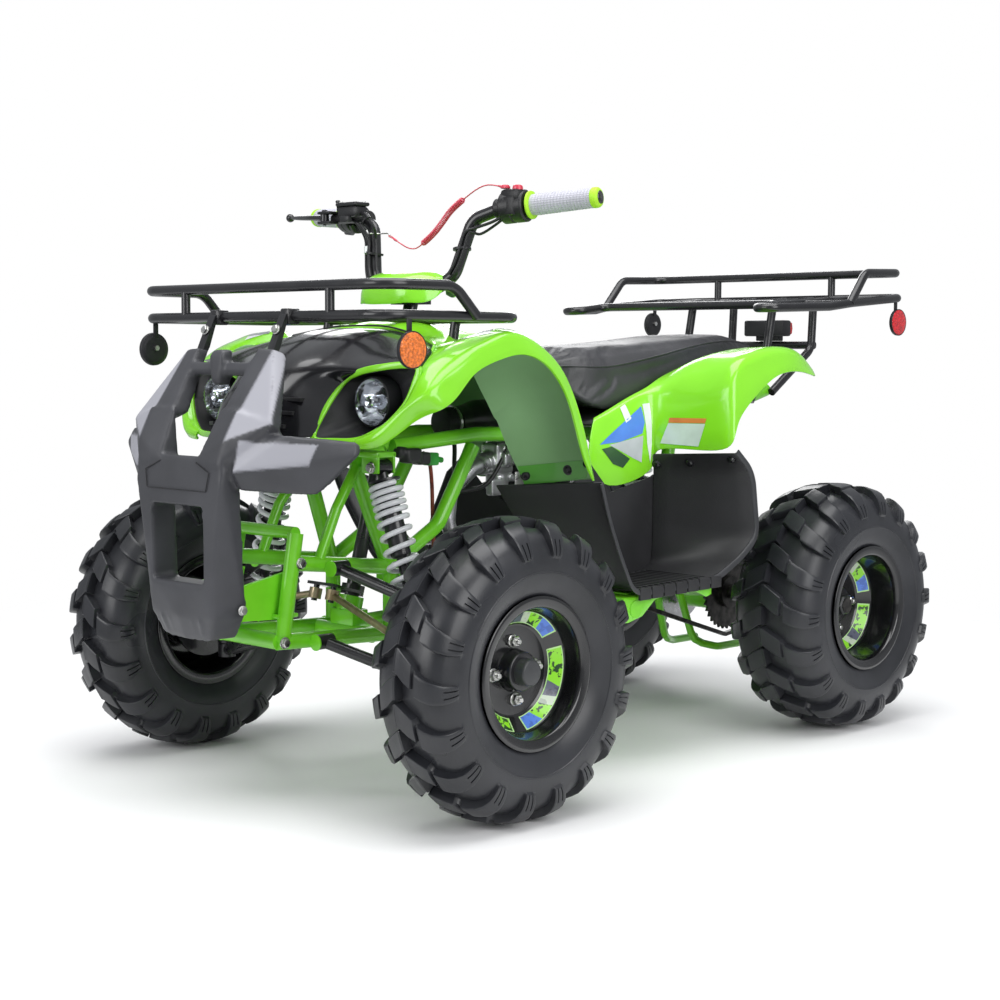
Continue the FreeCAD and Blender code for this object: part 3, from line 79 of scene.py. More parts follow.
def sky():
    """White to the camera, and a softer even light on everything else, reflections included."""
    world = bpy.data.worlds.new("Studio")
    bpy.context.scene.world = world
    world.use_nodes = True
    tree, links = world.node_tree, world.node_tree.links
    tree.nodes.clear()
    rays = add_node(tree, "LightPath")
    seen = add_node(tree, "Background", Color=(1.0, 1.0, 1.0, 1.0))
    lit = add_node(tree, "Background", Color=(0.93, 0.96, 1.0, 1.0), Strength=0.42)
    mix = add_node(tree, "MixShader")
    output = add_node(tree, "OutputWorld")
    links.new(rays.outputs["Is Camera Ray"], mix.inputs["Fac"])
    links.new(lit.outputs["Background"], mix.inputs[1])
    links.new(seen.outputs["Background"], mix.inputs[2])
    links.new(mix.outputs["Shader"], output.inputs["Surface"])


def soft_box(name, place, target, width, height, power, tint=(1.0, 1.0, 1.0)):
    """A rectangular lamp at place that faces target."""
    data = bpy.data.lights.new(name, "AREA")
    data.shape = "RECTANGLE"
    data.size = width
    data.size_y = height
    data.energy = power
    data.color = tint
    lamp = bpy.data.objects.new(name, data)
    bpy.context.scene.collection.objects.link(lamp)
    way = Vector(target) - Vector(place)
    lamp.matrix_world = Matrix.Translation(Vector(place)) @ way.to_track_quat("-Z", "Y").to_matrix().to_4x4()


sky()
soft_box("overhead_box", (0.3, -0.3, 3.4), (0.0, 0.0, 0.4), 3.4, 2.6, 105)
soft_box("left_box", (3.4, -0.6, 1.9), (0.0, 0.0, 0.45), 2.2, 2.4, 62)
soft_box("front_box", (-0.6, -3.8, 1.7), (0.0, -0.2, 0.5), 2.4, 2.0, 52)
soft_box("back_box", (-2.6, 2.6, 2.2), (0.0, 0.2, 0.6), 2.0, 1.6, 40)


def pale_floor():
    """A pale plane under the tyres that is white to the camera where no shadow falls."""
    mesh = bpy.data.meshes.new("floor")
    reach = 14.0
    corners = [(-reach, -reach, 0), (reach, -reach, 0), (reach, reach, 0), (-reach, reach, 0)]
    mesh.from_pydata(corners, [], [(0, 1, 2, 3)])
    floor = bpy.data.objects.new("floor", mesh)
    bpy.context.scene.collection.objects.link(floor)
    material = bpy.data.materials.new("pale_floor")
    material.use_nodes = True
    shader = material.node_tree.nodes["Principled BSDF"]
    shader.inputs["Base Color"].default_value = (0.93, 0.93, 0.93, 1)
    shader.inputs["Roughness"].default_value = 0.9
    shader.inputs["Specular IOR Level"].default_value = 0.1
    # From 0.9 m to 2.4 m off the bike's middle the plane gives way to the white sweep, so no horizon shows.
    tree, links = material.node_tree, material.node_tree.links
    place = add_node(tree, "TexCoord")
    length = add_node(tree, "VectorMath")
    length.operation = "LENGTH"
    fade = add_node(tree, "MapRange", From_Min=0.9, From_Max=2.4)
    clear = add_node(tree, "BsdfTransparent")
    mix = add_node(tree, "MixShader")
    links.new(place.outputs["Object"], length.inputs[0])
    links.new(length.outputs["Value"], fade.inputs["Value"])
    links.new(fade.outputs["Result"], mix.inputs["Fac"])
    links.new(shader.outputs["BSDF"], mix.inputs[1])
    links.new(clear.outputs["BSDF"], mix.inputs[2])
    links.new(mix.outputs["Shader"], tree.nodes["Material Output"].inputs["Surface"])
    mesh.materials.append(material)


pale_floor()


# Kill-switch tether: a red curly cord of coated wire between the switch on the left housing and a
# spring hook clipped round the right riser. Its tails are thinner wire, crimped into an eye at each end.


def finish(name, colour, roughness, metallic=0.0, coat=0.0, specular=0.5):
    """A material with one Principled shader."""
    material = bpy.data.materials.new(name)
    material.use_nodes = True
    shader = material.node_tree.nodes["Principled BSDF"]
    shader.inputs["Base Color"].default_value = (*colour, 1)
    shader.inputs["Roughness"].default_value = roughness
    shader.inputs["Metallic"].default_value = metallic
    shader.inputs["Coat Weight"].default_value = coat
    shader.inputs["Coat Roughness"].default_value = 0.08
    shader.inputs["Specular IOR Level"].default_value = specular
    return material


def tone(colour, share):
    """The colour made paler or darker by a share."""
    return tuple(min(1.0, share * c) for c in colour)


def around(count):
    """Even angles round a circle."""
    return np.linspace(0, 2 * math.pi, count, endpoint=False)


def unit(way):
    """The direction, or each direction of a list, at length one."""
    return way / np.linalg.norm(way, axis=-1, keepdims=True)


def run_length(line):
    """How far each point of a line lies along it."""
    return np.concatenate([[0], np.cumsum(np.linalg.norm(np.diff(line, axis=0), axis=1))])


def grain(material, scale, strength, depth, cells=False):
    """Fine bumps on a material, from noise or from small cells, at a scale per metre."""
    tree, links = material.node_tree, material.node_tree.links
    place = add_node(tree, "TexCoord")
    pattern = add_node(tree, "TexVoronoi" if cells else "TexNoise", Scale=scale)
    bump = add_node(tree, "Bump", Strength=strength, Distance=depth)
    links.new(place.outputs["Object"], pattern.inputs["Vector"])
    links.new(pattern.outputs["Distance" if cells else "Fac"], bump.inputs["Height"])
    shader = tree.nodes["Principled BSDF"]
    if shader.inputs["Normal"].is_linked:
        links.new(shader.inputs["Normal"].links[0].from_socket, bump.inputs["Normal"])
    links.new(bump.outputs["Normal"], shader.inputs["Normal"])


def mottle(material, first, second, scale, socket="Base Color", low=0.35, high=0.65):
    """A colour or a roughness that wanders between two values with soft noise."""
    tree, links = material.node_tree, material.node_tree.links
    place = add_node(tree, "TexCoord")
    noise = add_node(tree, "TexNoise", Scale=scale, Detail=3.0)
    ramp = add_node(tree, "ValToRGB")
    for element, place_at, value in zip(ramp.color_ramp.elements, (low, high), (first, second)):
        element.position = place_at
        element.color = (*value, 1) if socket == "Base Color" else (value, value, value, 1)
    links.new(place.outputs["Object"], noise.inputs["Vector"])
    links.new(noise.outputs["Fac"], ramp.inputs["Fac"])
    links.new(ramp.outputs["Color"], tree.nodes["Principled BSDF"].inputs[socket])


def gather(parts):
    """One list of points and faces from several."""
    points, faces, first = [], [], 0
    for part_points, part_faces in parts:
        part_points = np.asarray(part_points, float).reshape(-1, 3)
        points.append(part_points)
        faces += [[int(i) + first for i in face] for face in part_faces]
        first += len(part_points)
    return np.concatenate(points), faces


def mirror(part):
    """The same points and faces on the other side of the middle plane."""
    points, faces = part
    return np.asarray(points, float).reshape(-1, 3) * (-1, 1, 1), faces


def pair(*parts):
    """The parts, and then the same ones on the other side."""
    return [*parts, *map(mirror, parts)]


def enlist(piece, body, nodes):
    """Puts a piece in the scene on its body and the solids that it stands for."""
    bpy.context.scene.collection.objects.link(piece)
    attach(piece, body)
    if nodes:
        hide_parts(*nodes.split())


def mesh_object(name, parts, material, nodes="", sharp=None, body="chassis"):
    """A piece from parts in millimetres, each points and faces, with its normals turned outwards.

    Edges that bend more than sharp degrees stay crisp.
    """
    points, faces = gather(parts)
    mesh = bpy.data.meshes.new(name)
    mesh.from_pydata((points * MM).tolist(), [], faces)
    work = bmesh.new()
    work.from_mesh(mesh)
    bmesh.ops.remove_doubles(work, verts=work.verts, dist=WELD)
    bmesh.ops.dissolve_degenerate(work, edges=work.edges, dist=SLIVER)
    bmesh.ops.recalc_face_normals(work, faces=work.faces)
    work.to_mesh(mesh)
    work.free()
    mesh.polygons.foreach_set("use_smooth", np.full(len(mesh.polygons), True))
    if sharp is not None:
        mesh.set_sharp_from_angle(angle=math.radians(sharp))
    mesh.materials.append(material)
    piece = bpy.data.objects.new(name, mesh)
    enlist(piece, body, nodes)
    return piece


def grid_faces(rows, columns, wrap_rows=False, wrap_columns=False):
    """Four-cornered faces between neighbours of a grid of rows and columns."""
    i = np.arange(rows if wrap_rows else rows - 1)[:, None]
    j = np.arange(columns if wrap_columns else columns - 1)[None, :]
    i2, j2 = (i + 1) % rows, (j + 1) % columns
    return np.stack([i * columns + j, i * columns + j2, i2 * columns + j2, i2 * columns + j],
        -1).reshape(-1, 4)


def smooth_line(points, count):
    """A Catmull-Rom line through the points, at count even parameters."""
    points = np.asarray(points, float)
    n = len(points)
    t = np.linspace(0, n - 1, count)
    i = np.minimum(t.astype(int), n - 2)
    f = (t - i)[:, None]
    p0 = points[np.maximum(i - 1, 0)]
    p1 = points[i]
    p2 = points[i + 1]
    p3 = points[np.minimum(i + 2, n - 1)]
    p0 = np.where((i == 0)[:, None], 2 * p1 - p2, p0)
    p3 = np.where((i >= n - 2)[:, None], 2 * p2 - p1, p3)
    return 0.5 * ((2 * p1) + (p2 - p0) * f + (2 * p0 - 5 * p1 + 4 * p2 - p3) * f ** 2
        + (3 * p1 - p0 - 3 * p2 + p3) * f ** 3)


def bend_path(points, radius, chords=8):
    """The path with each inner corner turned into a round bend of the radius, or of what its runs allow."""
    points = [Vector(p) for p in points]
    path = [points[0]]
    for before, corner, after in zip(points, points[1:], points[2:]):
        back = (before - corner).normalized()
        ahead = (after - corner).normalized()
        half_turn = (math.pi - back.angle(ahead)) / 2
        if half_turn < 0.01 or radius <= 0:
            path.append(corner)
            continue
        reach = min(radius * math.tan(half_turn), 0.48 * (before - corner).length,
            0.48 * (after - corner).length)
        bend = reach / math.tan(half_turn)
        centre = corner + (back + ahead).normalized() * (bend / math.cos(half_turn))
        start = corner + back * reach - centre
        axis = start.cross(corner + ahead * reach - centre).normalized()
        for step in range(chords + 1):
            path.append(centre + Matrix.Rotation(2 * half_turn * step / chords, 3, axis) @ start)
    path.append(points[-1])
    return np.array([tuple(p) for p in path])


def sweep(path, radius, sides=20, section=None):
    """Points and faces of a round bar along a path, closed at its ends; radius may change along it.

    A section of (across, up) points replaces the circle. The frame is carried along the path by the
    least turn at each step, so the bar never twists.
    """
    path = np.asarray(path, float)
    line = path[-1] - path[0]
    if np.linalg.norm(np.cross(path - path[0], line)) < 1e-3 * (line @ line):
        # A straight bar keeps one way, so its outline may also step back or stand still.
        step = np.tile(line, (len(path), 1))
    else:
        step = np.gradient(path, axis=0)
    ways = step / np.linalg.norm(step, axis=1)[:, None]
    across = np.cross(ways[0], [0.0, 0.0, 1.0])
    if np.linalg.norm(across) < 0.2:
        across = np.cross(ways[0], [1.0, 0.0, 0.0])
    across = unit(across)
    if section is None:
        angle = around(sides)
        section = np.stack([np.cos(angle), np.sin(angle)], -1)
    else:
        section = np.asarray(section, float)
    size = np.broadcast_to(np.asarray(radius, float), (len(path),))
    rings = []
    for centre, way, scale in zip(path, ways, size):
        across = across - way * (across @ way)
        across = unit(across)
        up = np.cross(across, way)
        rings.append(centre + scale * (section[:, :1] * across + section[:, 1:] * up))
    count = len(section)
    points = np.concatenate(rings)
    faces = [list(f) for f in grid_faces(len(path), count, wrap_columns=True)]
    faces.append(list(range(count)))
    faces.append(list(range(len(points) - count, len(points))))
    return points, faces


# The route, as in the part's source: the tail over the switch block, the coil's middle line, and the foot.
TETHER_TAIL = [(190, -255.54, 1007.8), (175, -259.44, 1011.4), (157, -261.44, 1011.0),
    (136.8, -262.04, 1004.4)]
COIL_LINE = [(110, -262.04, 991.0), (80, -262.04, 976.0), (56, -262.04, 953.0), (30, -262.04, 931.0),
    (4, -262.04, 917.5)]
TETHER_FOOT = [(-10, -262.04, 910.2), (-28, -262.04, 910.9), (-46, -262.04, 917.9), (-64, -262.04, 927.4)]
COIL_TURNS = 40
COIL_RADIUS = 4.6
CORD_RADIUS = 1.15
POINTS_A_TURN = 12


def nurbs(name, points):
    """A curve of one open NURBS spline with the points, in millimetres, as its control points."""
    data = bpy.data.curves.new(name, "CURVE")
    data.dimensions = "3D"
    line = data.splines.new("NURBS")
    line.points.add(len(points) - 1)
    place = np.concatenate([np.asarray(points, float) * MM, np.ones((len(points), 1))], 1)
    line.points.foreach_set("co", place.ravel())
    line.order_u = 3
    line.use_endpoint_u = True
    return data


def read_line(points, resolution=24):
    """The points, in millimetres, that the route's own spline passes through."""
    data = nurbs("route_line", points)
    data.resolution_u = resolution
    holder = bpy.data.objects.new("route_line", data)
    mesh = bpy.data.meshes.new_from_object(holder)
    line = np.empty(3 * len(mesh.vertices))
    mesh.vertices.foreach_get("co", line)
    bpy.data.objects.remove(holder)
    bpy.data.meshes.remove(mesh)
    bpy.data.curves.remove(data)
    return line.reshape(-1, 3) / MM


def tether():
    """The cord's own spline: a thin tail, the helix round the coil's line as it was read, and the foot."""
    middle = read_line(COIL_LINE)
    length = run_length(middle)
    even = np.linspace(0, length[-1], COIL_TURNS * POINTS_A_TURN + 1)
    middle = np.stack([np.interp(even, length, middle[:, k]) for k in range(3)], -1)
    way = np.gradient(middle, axis=0)
    way = unit(way)
    side = np.cross(way, [0.0, 1.0, 0.0])
    side = unit(side)
    other = np.cross(way, side)
    turn = np.linspace(0, COIL_TURNS, len(middle))
    # The turns open out from the middle line over the first and last one and a half.
    reach = COIL_RADIUS * np.clip(np.minimum(turn, COIL_TURNS - turn) / 1.5, 0.0, 1.0) ** 0.8
    angle = turn * 2 * math.pi
    helix = middle + reach[:, None] * (np.cos(angle)[:, None] * side + np.sin(angle)[:, None] * other)
    points = np.concatenate([TETHER_TAIL, helix, TETHER_FOOT])
    data = nurbs("tether_cord", points)
    data.bevel_depth = CORD_RADIUS * MM
    data.bevel_resolution = 3
    data.resolution_u = 2
    data.materials.append(cord_paint)
    piece = bpy.data.objects.new("tether_cord", data)
    enlist(piece, "steering", "tether_coil tether_loop")
    line = read_line(points, 8)
    return piece, float(np.linalg.norm(np.diff(line, axis=0), axis=1).sum()) * MM


def tether_fittings():
    """The red cap on the switch, the crimped lower eye, and the plated spring hook round the riser."""
    cap_profile = [(0, 7.2), (0.6, 8.0), (3.6, 8.0), (4.4, 7.0), (4.8, 6.4), (5.8, 6.4), (6.2, 5.6),
        (6.3, 0.1)]
    angle = around(40)
    ridged = 1.0 + 0.03 * np.sign(np.sin(angle * 12))
    rings = [[(199 + r * k * math.cos(a), -252.04 + r * k * math.sin(a), 1003.7 + z)
        for a, k in zip(angle, ridged)] for z, r in cap_profile]
    cap = (np.array(rings).reshape(-1, 3), grid_faces(len(cap_profile), 40, wrap_columns=True))
    stub = sweep([(197, -253.4, 1006.2), (190.5, -255.4, 1007.7), (189.5, -255.6, 1007.9),
        (186, -256.6, 1008.8)], [2.2, 2.2, 1.8, 1.5], 14)
    crimp = sweep([(-61, -262.04, 925.8), (-64, -262.04, 927.4), (-68, -262.04, 929.5),
        (-69, -262.04, 930)], [1.5, 2.2, 2.2, 1.6], 14)
    eye = sweep(smooth_line([(-68, -262, 929.5), (-73, -259.4, 932), (-79, -259.2, 935), (-82, -262, 936.6),
        (-79, -264.8, 935), (-73, -264.6, 932), (-68, -262, 929.5)], 48), 0.95, 10)
    hook_line = [(-82, -262, 933.6), (-80.2, -262, 937.4), (-86, -262, 940.2), (-96, -262, 940.6),
        (-105, -264, 940.4), (-108.4, -270, 940.4), (-108.6, -277, 940.2), (-110, -283, 940)]
    hook = sweep(smooth_line(hook_line, 64), 1.25, 12)
    red = mesh_object("tether_cap_and_eye", [cap, stub, crimp, eye], cord_paint, "tether_clip",
        sharp=45, body="steering")
    return [red, mesh_object("tether_hook", [hook], plated, "tether_clip", body="steering")]


# Translucent-looking red coating on a thin wire.
cord_paint = finish("cord_red", (0.62, 0.035, 0.075), 0.32, coat=0.3)
mottle(cord_paint, (0.55, 0.03, 0.06), (0.7, 0.06, 0.11), 60.0)


# Bright zinc plating with faint rubbing marks.
plated = finish("bright_zinc", (0.62, 0.62, 0.6), 0.3, metallic=1.0)
mottle(plated, 0.22, 0.42, 55.0, socket="Roughness")
tether_piece, tether_length = tether()
tether_ends = tether_fittings()


# Frame: round steel tube, bent, welded and powder coated bright green, with pressed plates at the spring
# towers, black feet for the bumper, and the rear rails that the seat and the rear rack bolt to.


def satin_black():
    """Black stove enamel on tubes and castings."""
    material = finish("satin_black", (0.01, 0.01, 0.012), 0.3, coat=0.35)
    mottle(material, 0.22, 0.38, 20.0, socket="Roughness")
    grain(material, 240.0, 0.08, 0.0003)
    return material


def bars(name, runs, material, nodes, sides=20):
    """Round tubes on bent paths, each with its points, radius and bend radius, on both sides if doubled."""
    parts = []
    for points, radius, bend, doubled in runs:
        part = sweep(bend_path(points, bend), radius, sides)
        parts += pair(part) if doubled else [part]
    return mesh_object(name, parts, material, nodes, sharp=40)


def box(low, high, bevel=2.0):
    """A block with chamfered edges, as points and faces, from its lowest and highest corners."""
    low, high = np.minimum(low, high), np.maximum(low, high)
    bevel = min(bevel, 0.45 * float((high - low).min()))
    work = bmesh.new()
    bmesh.ops.create_cube(work, size=1.0)
    for vertex in work.verts:
        vertex.co = Vector([(low[k] + high[k]) / 2 + vertex.co[k] * (high[k] - low[k]) for k in range(3)])
    bmesh.ops.bevel(work, geom=work.edges[:], offset=bevel, segments=2, profile=0.5, affect="EDGES")
    work.verts.index_update()
    points = [tuple(vertex.co) for vertex in work.verts]
    faces = [[vertex.index for vertex in face.verts] for face in work.faces]
    work.free()
    return np.array(points), faces


def plate(outline, normal_axis, low, high):
    """A flat plate: an outline of pairs in the plane across an axis, from low to high along that axis."""
    outline = np.asarray(outline, float)
    count = len(outline)
    layers = []
    for level in (low, high):
        layers.append(np.insert(outline, normal_axis, level, axis=1))
    faces = [list(range(count)), list(range(count, 2 * count))]
    faces += [[i, (i + 1) % count, count + (i + 1) % count, count + i] for i in range(count)]
    return np.concatenate(layers), faces


def bolt(place, way, across=13.0, head=6.0, washer=9.5):
    """A flanged hexagon bolt head that points along way from place."""
    way = Vector(way).normalized()
    place = Vector(place)
    washer_part = sweep([tuple(place), tuple(place + way * 1.6), tuple(place + way * 1.8)],
        [washer, washer, washer - 0.5], 24)
    radius = across / math.sqrt(3)
    top = place + way * (1.6 + head)
    head_part = sweep([tuple(place + way * 1.2), tuple(top - way * 1.0), tuple(top)],
        [radius, radius, radius * 0.86], 6)
    return gather([washer_part, head_part])


# Bright green powder coat: a little orange peel and a soft gloss.
frame_paint = finish("green_powder", (0.19, 0.67, 0.022), 0.3, coat=0.35)
mottle(frame_paint, (0.175, 0.64, 0.018), (0.205, 0.7, 0.026), 22.0)
grain(frame_paint, 260.0, 0.1, 0.0003)
black_enamel = satin_black()

SHOCK_TOP = (132.0, -472.0, 540.0)
SHOCK_LOW = (215.0, -456.0, 250.0)
TUBE = 13.0
frame_runs = [
    ([(75, -645, 262), (75, -345, 250), (105, -250, 246), (105, 160, 246), (105, 260, 340),
      (85, 328, 558)], TUBE, 60, True),
    ([(75, -612, 388), (75, -404, 366), (75, -290, 430), (75, -205, 564)], TUBE, 50, True),
    ([(75, -606, 436), (75, -634, 262)], TUBE, 0, True),
    ([(75, -400, 366), (75, -400, 252)], TUBE, 0, True),
    ([(62, -412, 566), (26, -340, 672)], TUBE, 0, True),
    ([(75, -404, 366), (62, -474, 548), (60, -412, 566)], TUBE, 40, True),
    ([(-75, -606, 436), (75, -606, 436)], 10.4, 0, False),
    ([(-75, -640, 262), (75, -640, 262)], TUBE, 0, False),
    ([(-75, -440, 252), (75, -440, 252)], TUBE, 0, False),
    ([(-60, -412, 566), (60, -412, 566)], TUBE, 0, False),
    ([(-105, -200, 246), (105, -200, 246)], TUBE, 0, False),
    ([(-105, 160, 246), (105, 160, 246)], TUBE, 0, False),
    ([(105, 20, 246), (236, 20, 262), (236, 20, 296)], TUBE, 30, True),
    ([(75, -560, 381), (75, -520, 470), (68, -470, 538)], 9.0, 30, True),
]
bars("frame_tubes", frame_runs, frame_paint, "frame")
parts = pair(box((67, -494, 556), (146, -450, 566), 3), box((106, -492, 530), (146, -486.5, 566), 2),
    box((106, -457.5, 530), (146, -452, 566), 2), box((46, -642, 299), (75, -600, 306), 2),
    plate([(-630, 296), (-721, 300), (-726, 350), (-612, 372)], 0, 50, 58),
    plate([(196, -45), (300, -45), (300, 85), (196, 85)], 2, 300, 309),
    sweep([(132, -496, 540), (132, -448, 540)], 6, 16))
parts.append(box((-30, -446, 262), (30, -410, 290), 3))
rake = math.radians(15.4)
STEM_WAY = np.array([0.0, math.sin(rake), math.cos(rake)])
STEM_FOOT = np.array([0.0, -421.0, 316.0])
for start, end, radius in ((-32, -6, 22), (360, 392, 24)):
    parts.append(sweep([STEM_FOOT + STEM_WAY * start, STEM_FOOT + STEM_WAY * end], radius, 28))
mesh_object("frame_plates", parts, frame_paint, "frame", sharp=30)
sockets = [((132, -493, 540), (0, -1, 0)), ((88, -640, 262), (1, 0, 0)), ((88, -606, 388), (1, 0, 0)),
    ((88, -404, 366), (1, 0, 0)), ((88, -400, 252), (1, 0, 0))]
mesh_object("frame_bolts", pair(*(bolt(place, way) for place, way in sockets)), plated, "frame",
    sharp=30)

rail_runs = [
    ([(61, -384.5, 569), (75, -200, 585), (85, 330, 575), (85, 640, 655)], TUBE, 40, True),
    ([(-85, 330, 572), (85, 330, 572)], TUBE, 0, False),
    ([(-85, 630, 652), (85, 630, 652)], TUBE, 0, False),
    ([(-21, 338, 545), (21, 338, 545)], 6, 0, False),
]
bars("seat_rail_tubes", rail_runs, frame_paint, "seat_rails")
tabs = [((16, 318, 536), (21, 352, 572)), ((76, -44, 586), (106, -36, 620)), ((77, 536, 636), (93, 552, 710))]
mesh_object("seat_rail_tabs", pair(*(box(low, high) for low, high in tabs)), frame_paint,
    "seat_rails", sharp=30)


# Swing arm, knuckles, tie rods, stem, chain drive and brake: the solids' own shapes are right, so they
# stay and take their real finishes here. The exhaust and the front hubs are dressed in their own
# sections.


def dress(node, material):
    """The CAD node keeps its mesh and takes the material."""
    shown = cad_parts[node]
    shown = bpy.data.objects[shown] if isinstance(shown, str) else shown
    if not shown.material_slots:
        shown.data.materials.append(material)
    for slot_place in shown.material_slots:
        slot_place.material = material


# Yellowish zinc on turned steel, rubbed dull.
zinc_rod = finish("tie_rod_zinc", (0.42, 0.31, 0.2), 0.38, metallic=0.9)
mottle(zinc_rod, (0.36, 0.26, 0.16), (0.52, 0.42, 0.3), 30.0)
mottle(zinc_rod, 0.3, 0.5, 45.0, socket="Roughness")
# Oiled dark steel.
drive_steel = finish("chain_steel", (0.05, 0.048, 0.045), 0.38, metallic=0.8)
mottle(drive_steel, (0.03, 0.03, 0.028), (0.09, 0.085, 0.08), 60.0)
# Turned brake disc steel with fine rings of wear.
bright_disc = finish("disc_steel", (0.46, 0.46, 0.47), 0.28, metallic=1.0)
mottle(bright_disc, 0.2, 0.4, 70.0, socket="Roughness")
for node, material in (("swing_arm", frame_paint), ("steering_stem", black_enamel),
        ("knuckle_left", black_enamel), ("knuckle_right", black_enamel), ("tie_rod_left", zinc_rod),
        ("tie_rod_right", zinc_rod), ("chain", drive_steel), ("rear_sprocket", drive_steel),
        ("rear_brake_disc", bright_disc), ("rear_axle", drive_steel)):
    dress(node, material)


# Front suspension: black forged wishbones with green-ringed pivots, black dampers, and white coil springs
# wound close at the top and wide below. The rear shock between the frame and the swing arm is alike.


def coil(top, low, radius, wire, pitches, sides=14):
    """A coil spring from top to low: each entry of pitches is one turn's share of the length."""
    top, low = np.asarray(top, float), np.asarray(low, float)
    way = unit(low - top)
    side = unit(np.cross(way, [0.0, 1.0, 0.0]))
    other = np.cross(way, side)
    steps = 28
    share = np.concatenate([[0], np.cumsum(pitches)]) / np.sum(pitches)
    turn = np.linspace(0, len(pitches), len(pitches) * steps + 1)
    along = np.interp(turn, np.arange(len(share)), share) * np.linalg.norm(low - top)
    angle = turn * 2 * math.pi
    path = top + along[:, None] * way + radius * (
        np.cos(angle)[:, None] * side + np.sin(angle)[:, None] * other)
    return sweep(path, wire, sides)


# Gloss white powder coat on spring wire.
white_paint = finish("spring_white", (0.8, 0.81, 0.84), 0.28, coat=0.4)
mottle(white_paint, (0.74, 0.75, 0.78), (0.84, 0.85, 0.88), 30.0)

ARM_TUBE = 10.0
LOWER_PIVOTS = (100, -568, 258), (100, -380, 250)
UPPER_PIVOTS = (100, -536, 376), (100, -380, 364)
arm_runs = []
for front, back, high in ((*LOWER_PIVOTS, 186), (*UPPER_PIVOTS, 306)):
    arm_runs.append(([front, (297, -462, high)], ARM_TUBE, 0, True))
    arm_runs.append(([back, (297, -456, high)], ARM_TUBE, 0, True))
    arm_runs.append(([(305, -459, high - 12), (305, -459, high + 12)], 16, 0, True))
    for x, y, z in (front, back):
        arm_runs.append(([(x, y - 16, z), (x, y + 16, z)], 12.5, 0, True))
arm_runs.append(([(305, -459, 186), (305, -459, 306)], 8, 0, True))
arm_runs.append(([(215, -476, 250), (215, -436, 250)], 6, 0, True))
bars("wishbones", arm_runs, black_enamel, "suspension_arms")
rings = [sweep([(x, y + end * 16.2, z), (x, y + end * 18.6, z)], 13.5, 28)
    for x, y, z in (*LOWER_PIVOTS, *UPPER_PIVOTS) for end in (-1, 1)]
parts = [box((206, -508, 206), (224, -422, 216)), box((203, -476, 210), (227, -470.3, 262)),
    box((203, -441.7, 210), (227, -436, 262))]
mesh_object("wishbone_rings", pair(*rings), frame_paint, "suspension_arms", sharp=30)
mesh_object("wishbone_mounts", pair(*parts), black_enamel, "suspension_arms", sharp=30)

top, low = np.array(SHOCK_TOP), np.array(SHOCK_LOW)
way = unit(low - top)
damper = [
    sweep([top + way * s for s in (8, 20, 21, 25, 26, 148, 152, 153)], [9, 9, 27, 27, 17, 17, 14, 9.5], 28),
    sweep([top + way * 150] + [low - way * s for s in (66, 65, 61, 60, 10)], [9, 9, 27, 27, 15, 13], 28)]
damper += [sweep([end - (0, 14, 0), end + (0, 14, 0)], 13, 28) for end in (top, low)]
spring = coil(top + way * 29.6, low - way * 70.4, 24.4, 4.6, [9.4] * 4 + [12.0, 17.0] + [21.0] * 5)
mesh_object("front_damper_bodies", pair(*damper), black_enamel, "front_dampers", sharp=35)
mesh_object("front_coils", pair(spring), white_paint, "front_springs", sharp=40)

top, low = np.array((0.0, 338.0, 545.0)), np.array((0.0, 326.0, 300.0))
way = unit(low - top)
parts = [sweep([top + way * s for s in (0, 21, 22, 28, 29, 100, 101, 219, 220)],
    [9, 9, 27, 27, 12, 12, 19, 19, 9], 28),
    sweep([low - way * s for s in (0, 24, 25, 30, 31)], [9, 9, 27, 27, 9], 28)]
for end in (top, low):
    parts.append(sweep([end - (12.5, 0, 0), end + (12.5, 0, 0)], 13, 28))
mesh_object("rear_shock_body", parts, black_enamel, "rear_shock", sharp=35)
mesh_object("rear_shock_coil", [coil(top + way * 30, low - way * 33, 23, 4.6, [18.0] * 9)], white_paint,
    "rear_shock", sharp=40)


# Tyres: black rubber, moulded in one with eighteen pairs of stepped lugs that run down the shoulders.
# The lugs of the two sides are half a pitch apart, and the smooth carcass shows between them.


# Charcoal rubber with a faint bloom and a fine moulded grain.
rubber = finish("tyre_rubber", (0.018, 0.019, 0.022), 0.36, specular=0.55)
mottle(rubber, (0.013, 0.014, 0.017), (0.026, 0.027, 0.032), 9.0)
mottle(rubber, 0.27, 0.44, 6.0, socket="Roughness")
grain(rubber, 420.0, 0.22, 0.0006)

WHEEL_Z = 238.5
FRONT_AXLE_Y = -459.0
REAR_AXLE_Y = 549.0
LUG_PITCHES = 18
# The carcass from the middle of the tread to the bead, as (x, radius), for a half width of 80.
CARCASS = [(0, 222.5), (22, 222), (42, 220), (57, 215), (68, 206), (76, 192), (80, 176), (80.5, 160),
    (78, 147), (73.5, 136), (68, 127), (63, 120.6)]
# Rows across half the tread: distance along the carcass, lug height, half width of a lug in pitches,
# and sweep.
LUG_ROWS = [(0, 16, .215, 0), (2.4, 16, .216, .01), (3.6, 15.8, .217, .02), (11, 15.7, .224, .085),
    (20, 15.4, .227, .165), (30, 15, .217, .24), (32.6, 14.6, .212, .26), (33.8, 9.5, .175, .29),
    (38, 9.0, .175, .35), (39.2, 13.6, .213, .40), (47, 13.3, .214, .465), (57, 13, .208, .525),
    (66, 12, .2, .557), (75, 10.6, .19, .575), (78, 10, .187, .58), (79.2, 9.8, .186, .58),
    (84, 8.8, .18, .58), (90, 7.6, .172, .575), (96, 6.4, .163, .57), (101, 5.2, .15, .56),
    (103.5, 4.4, .135, .555), (106, 1.0, .12, .55), (107, 0, .118, .55)]
PLAIN_ROWS = [114, 121, 128, 129.2, 131, 132.2, 141, 150, 160, 168, 175.5]
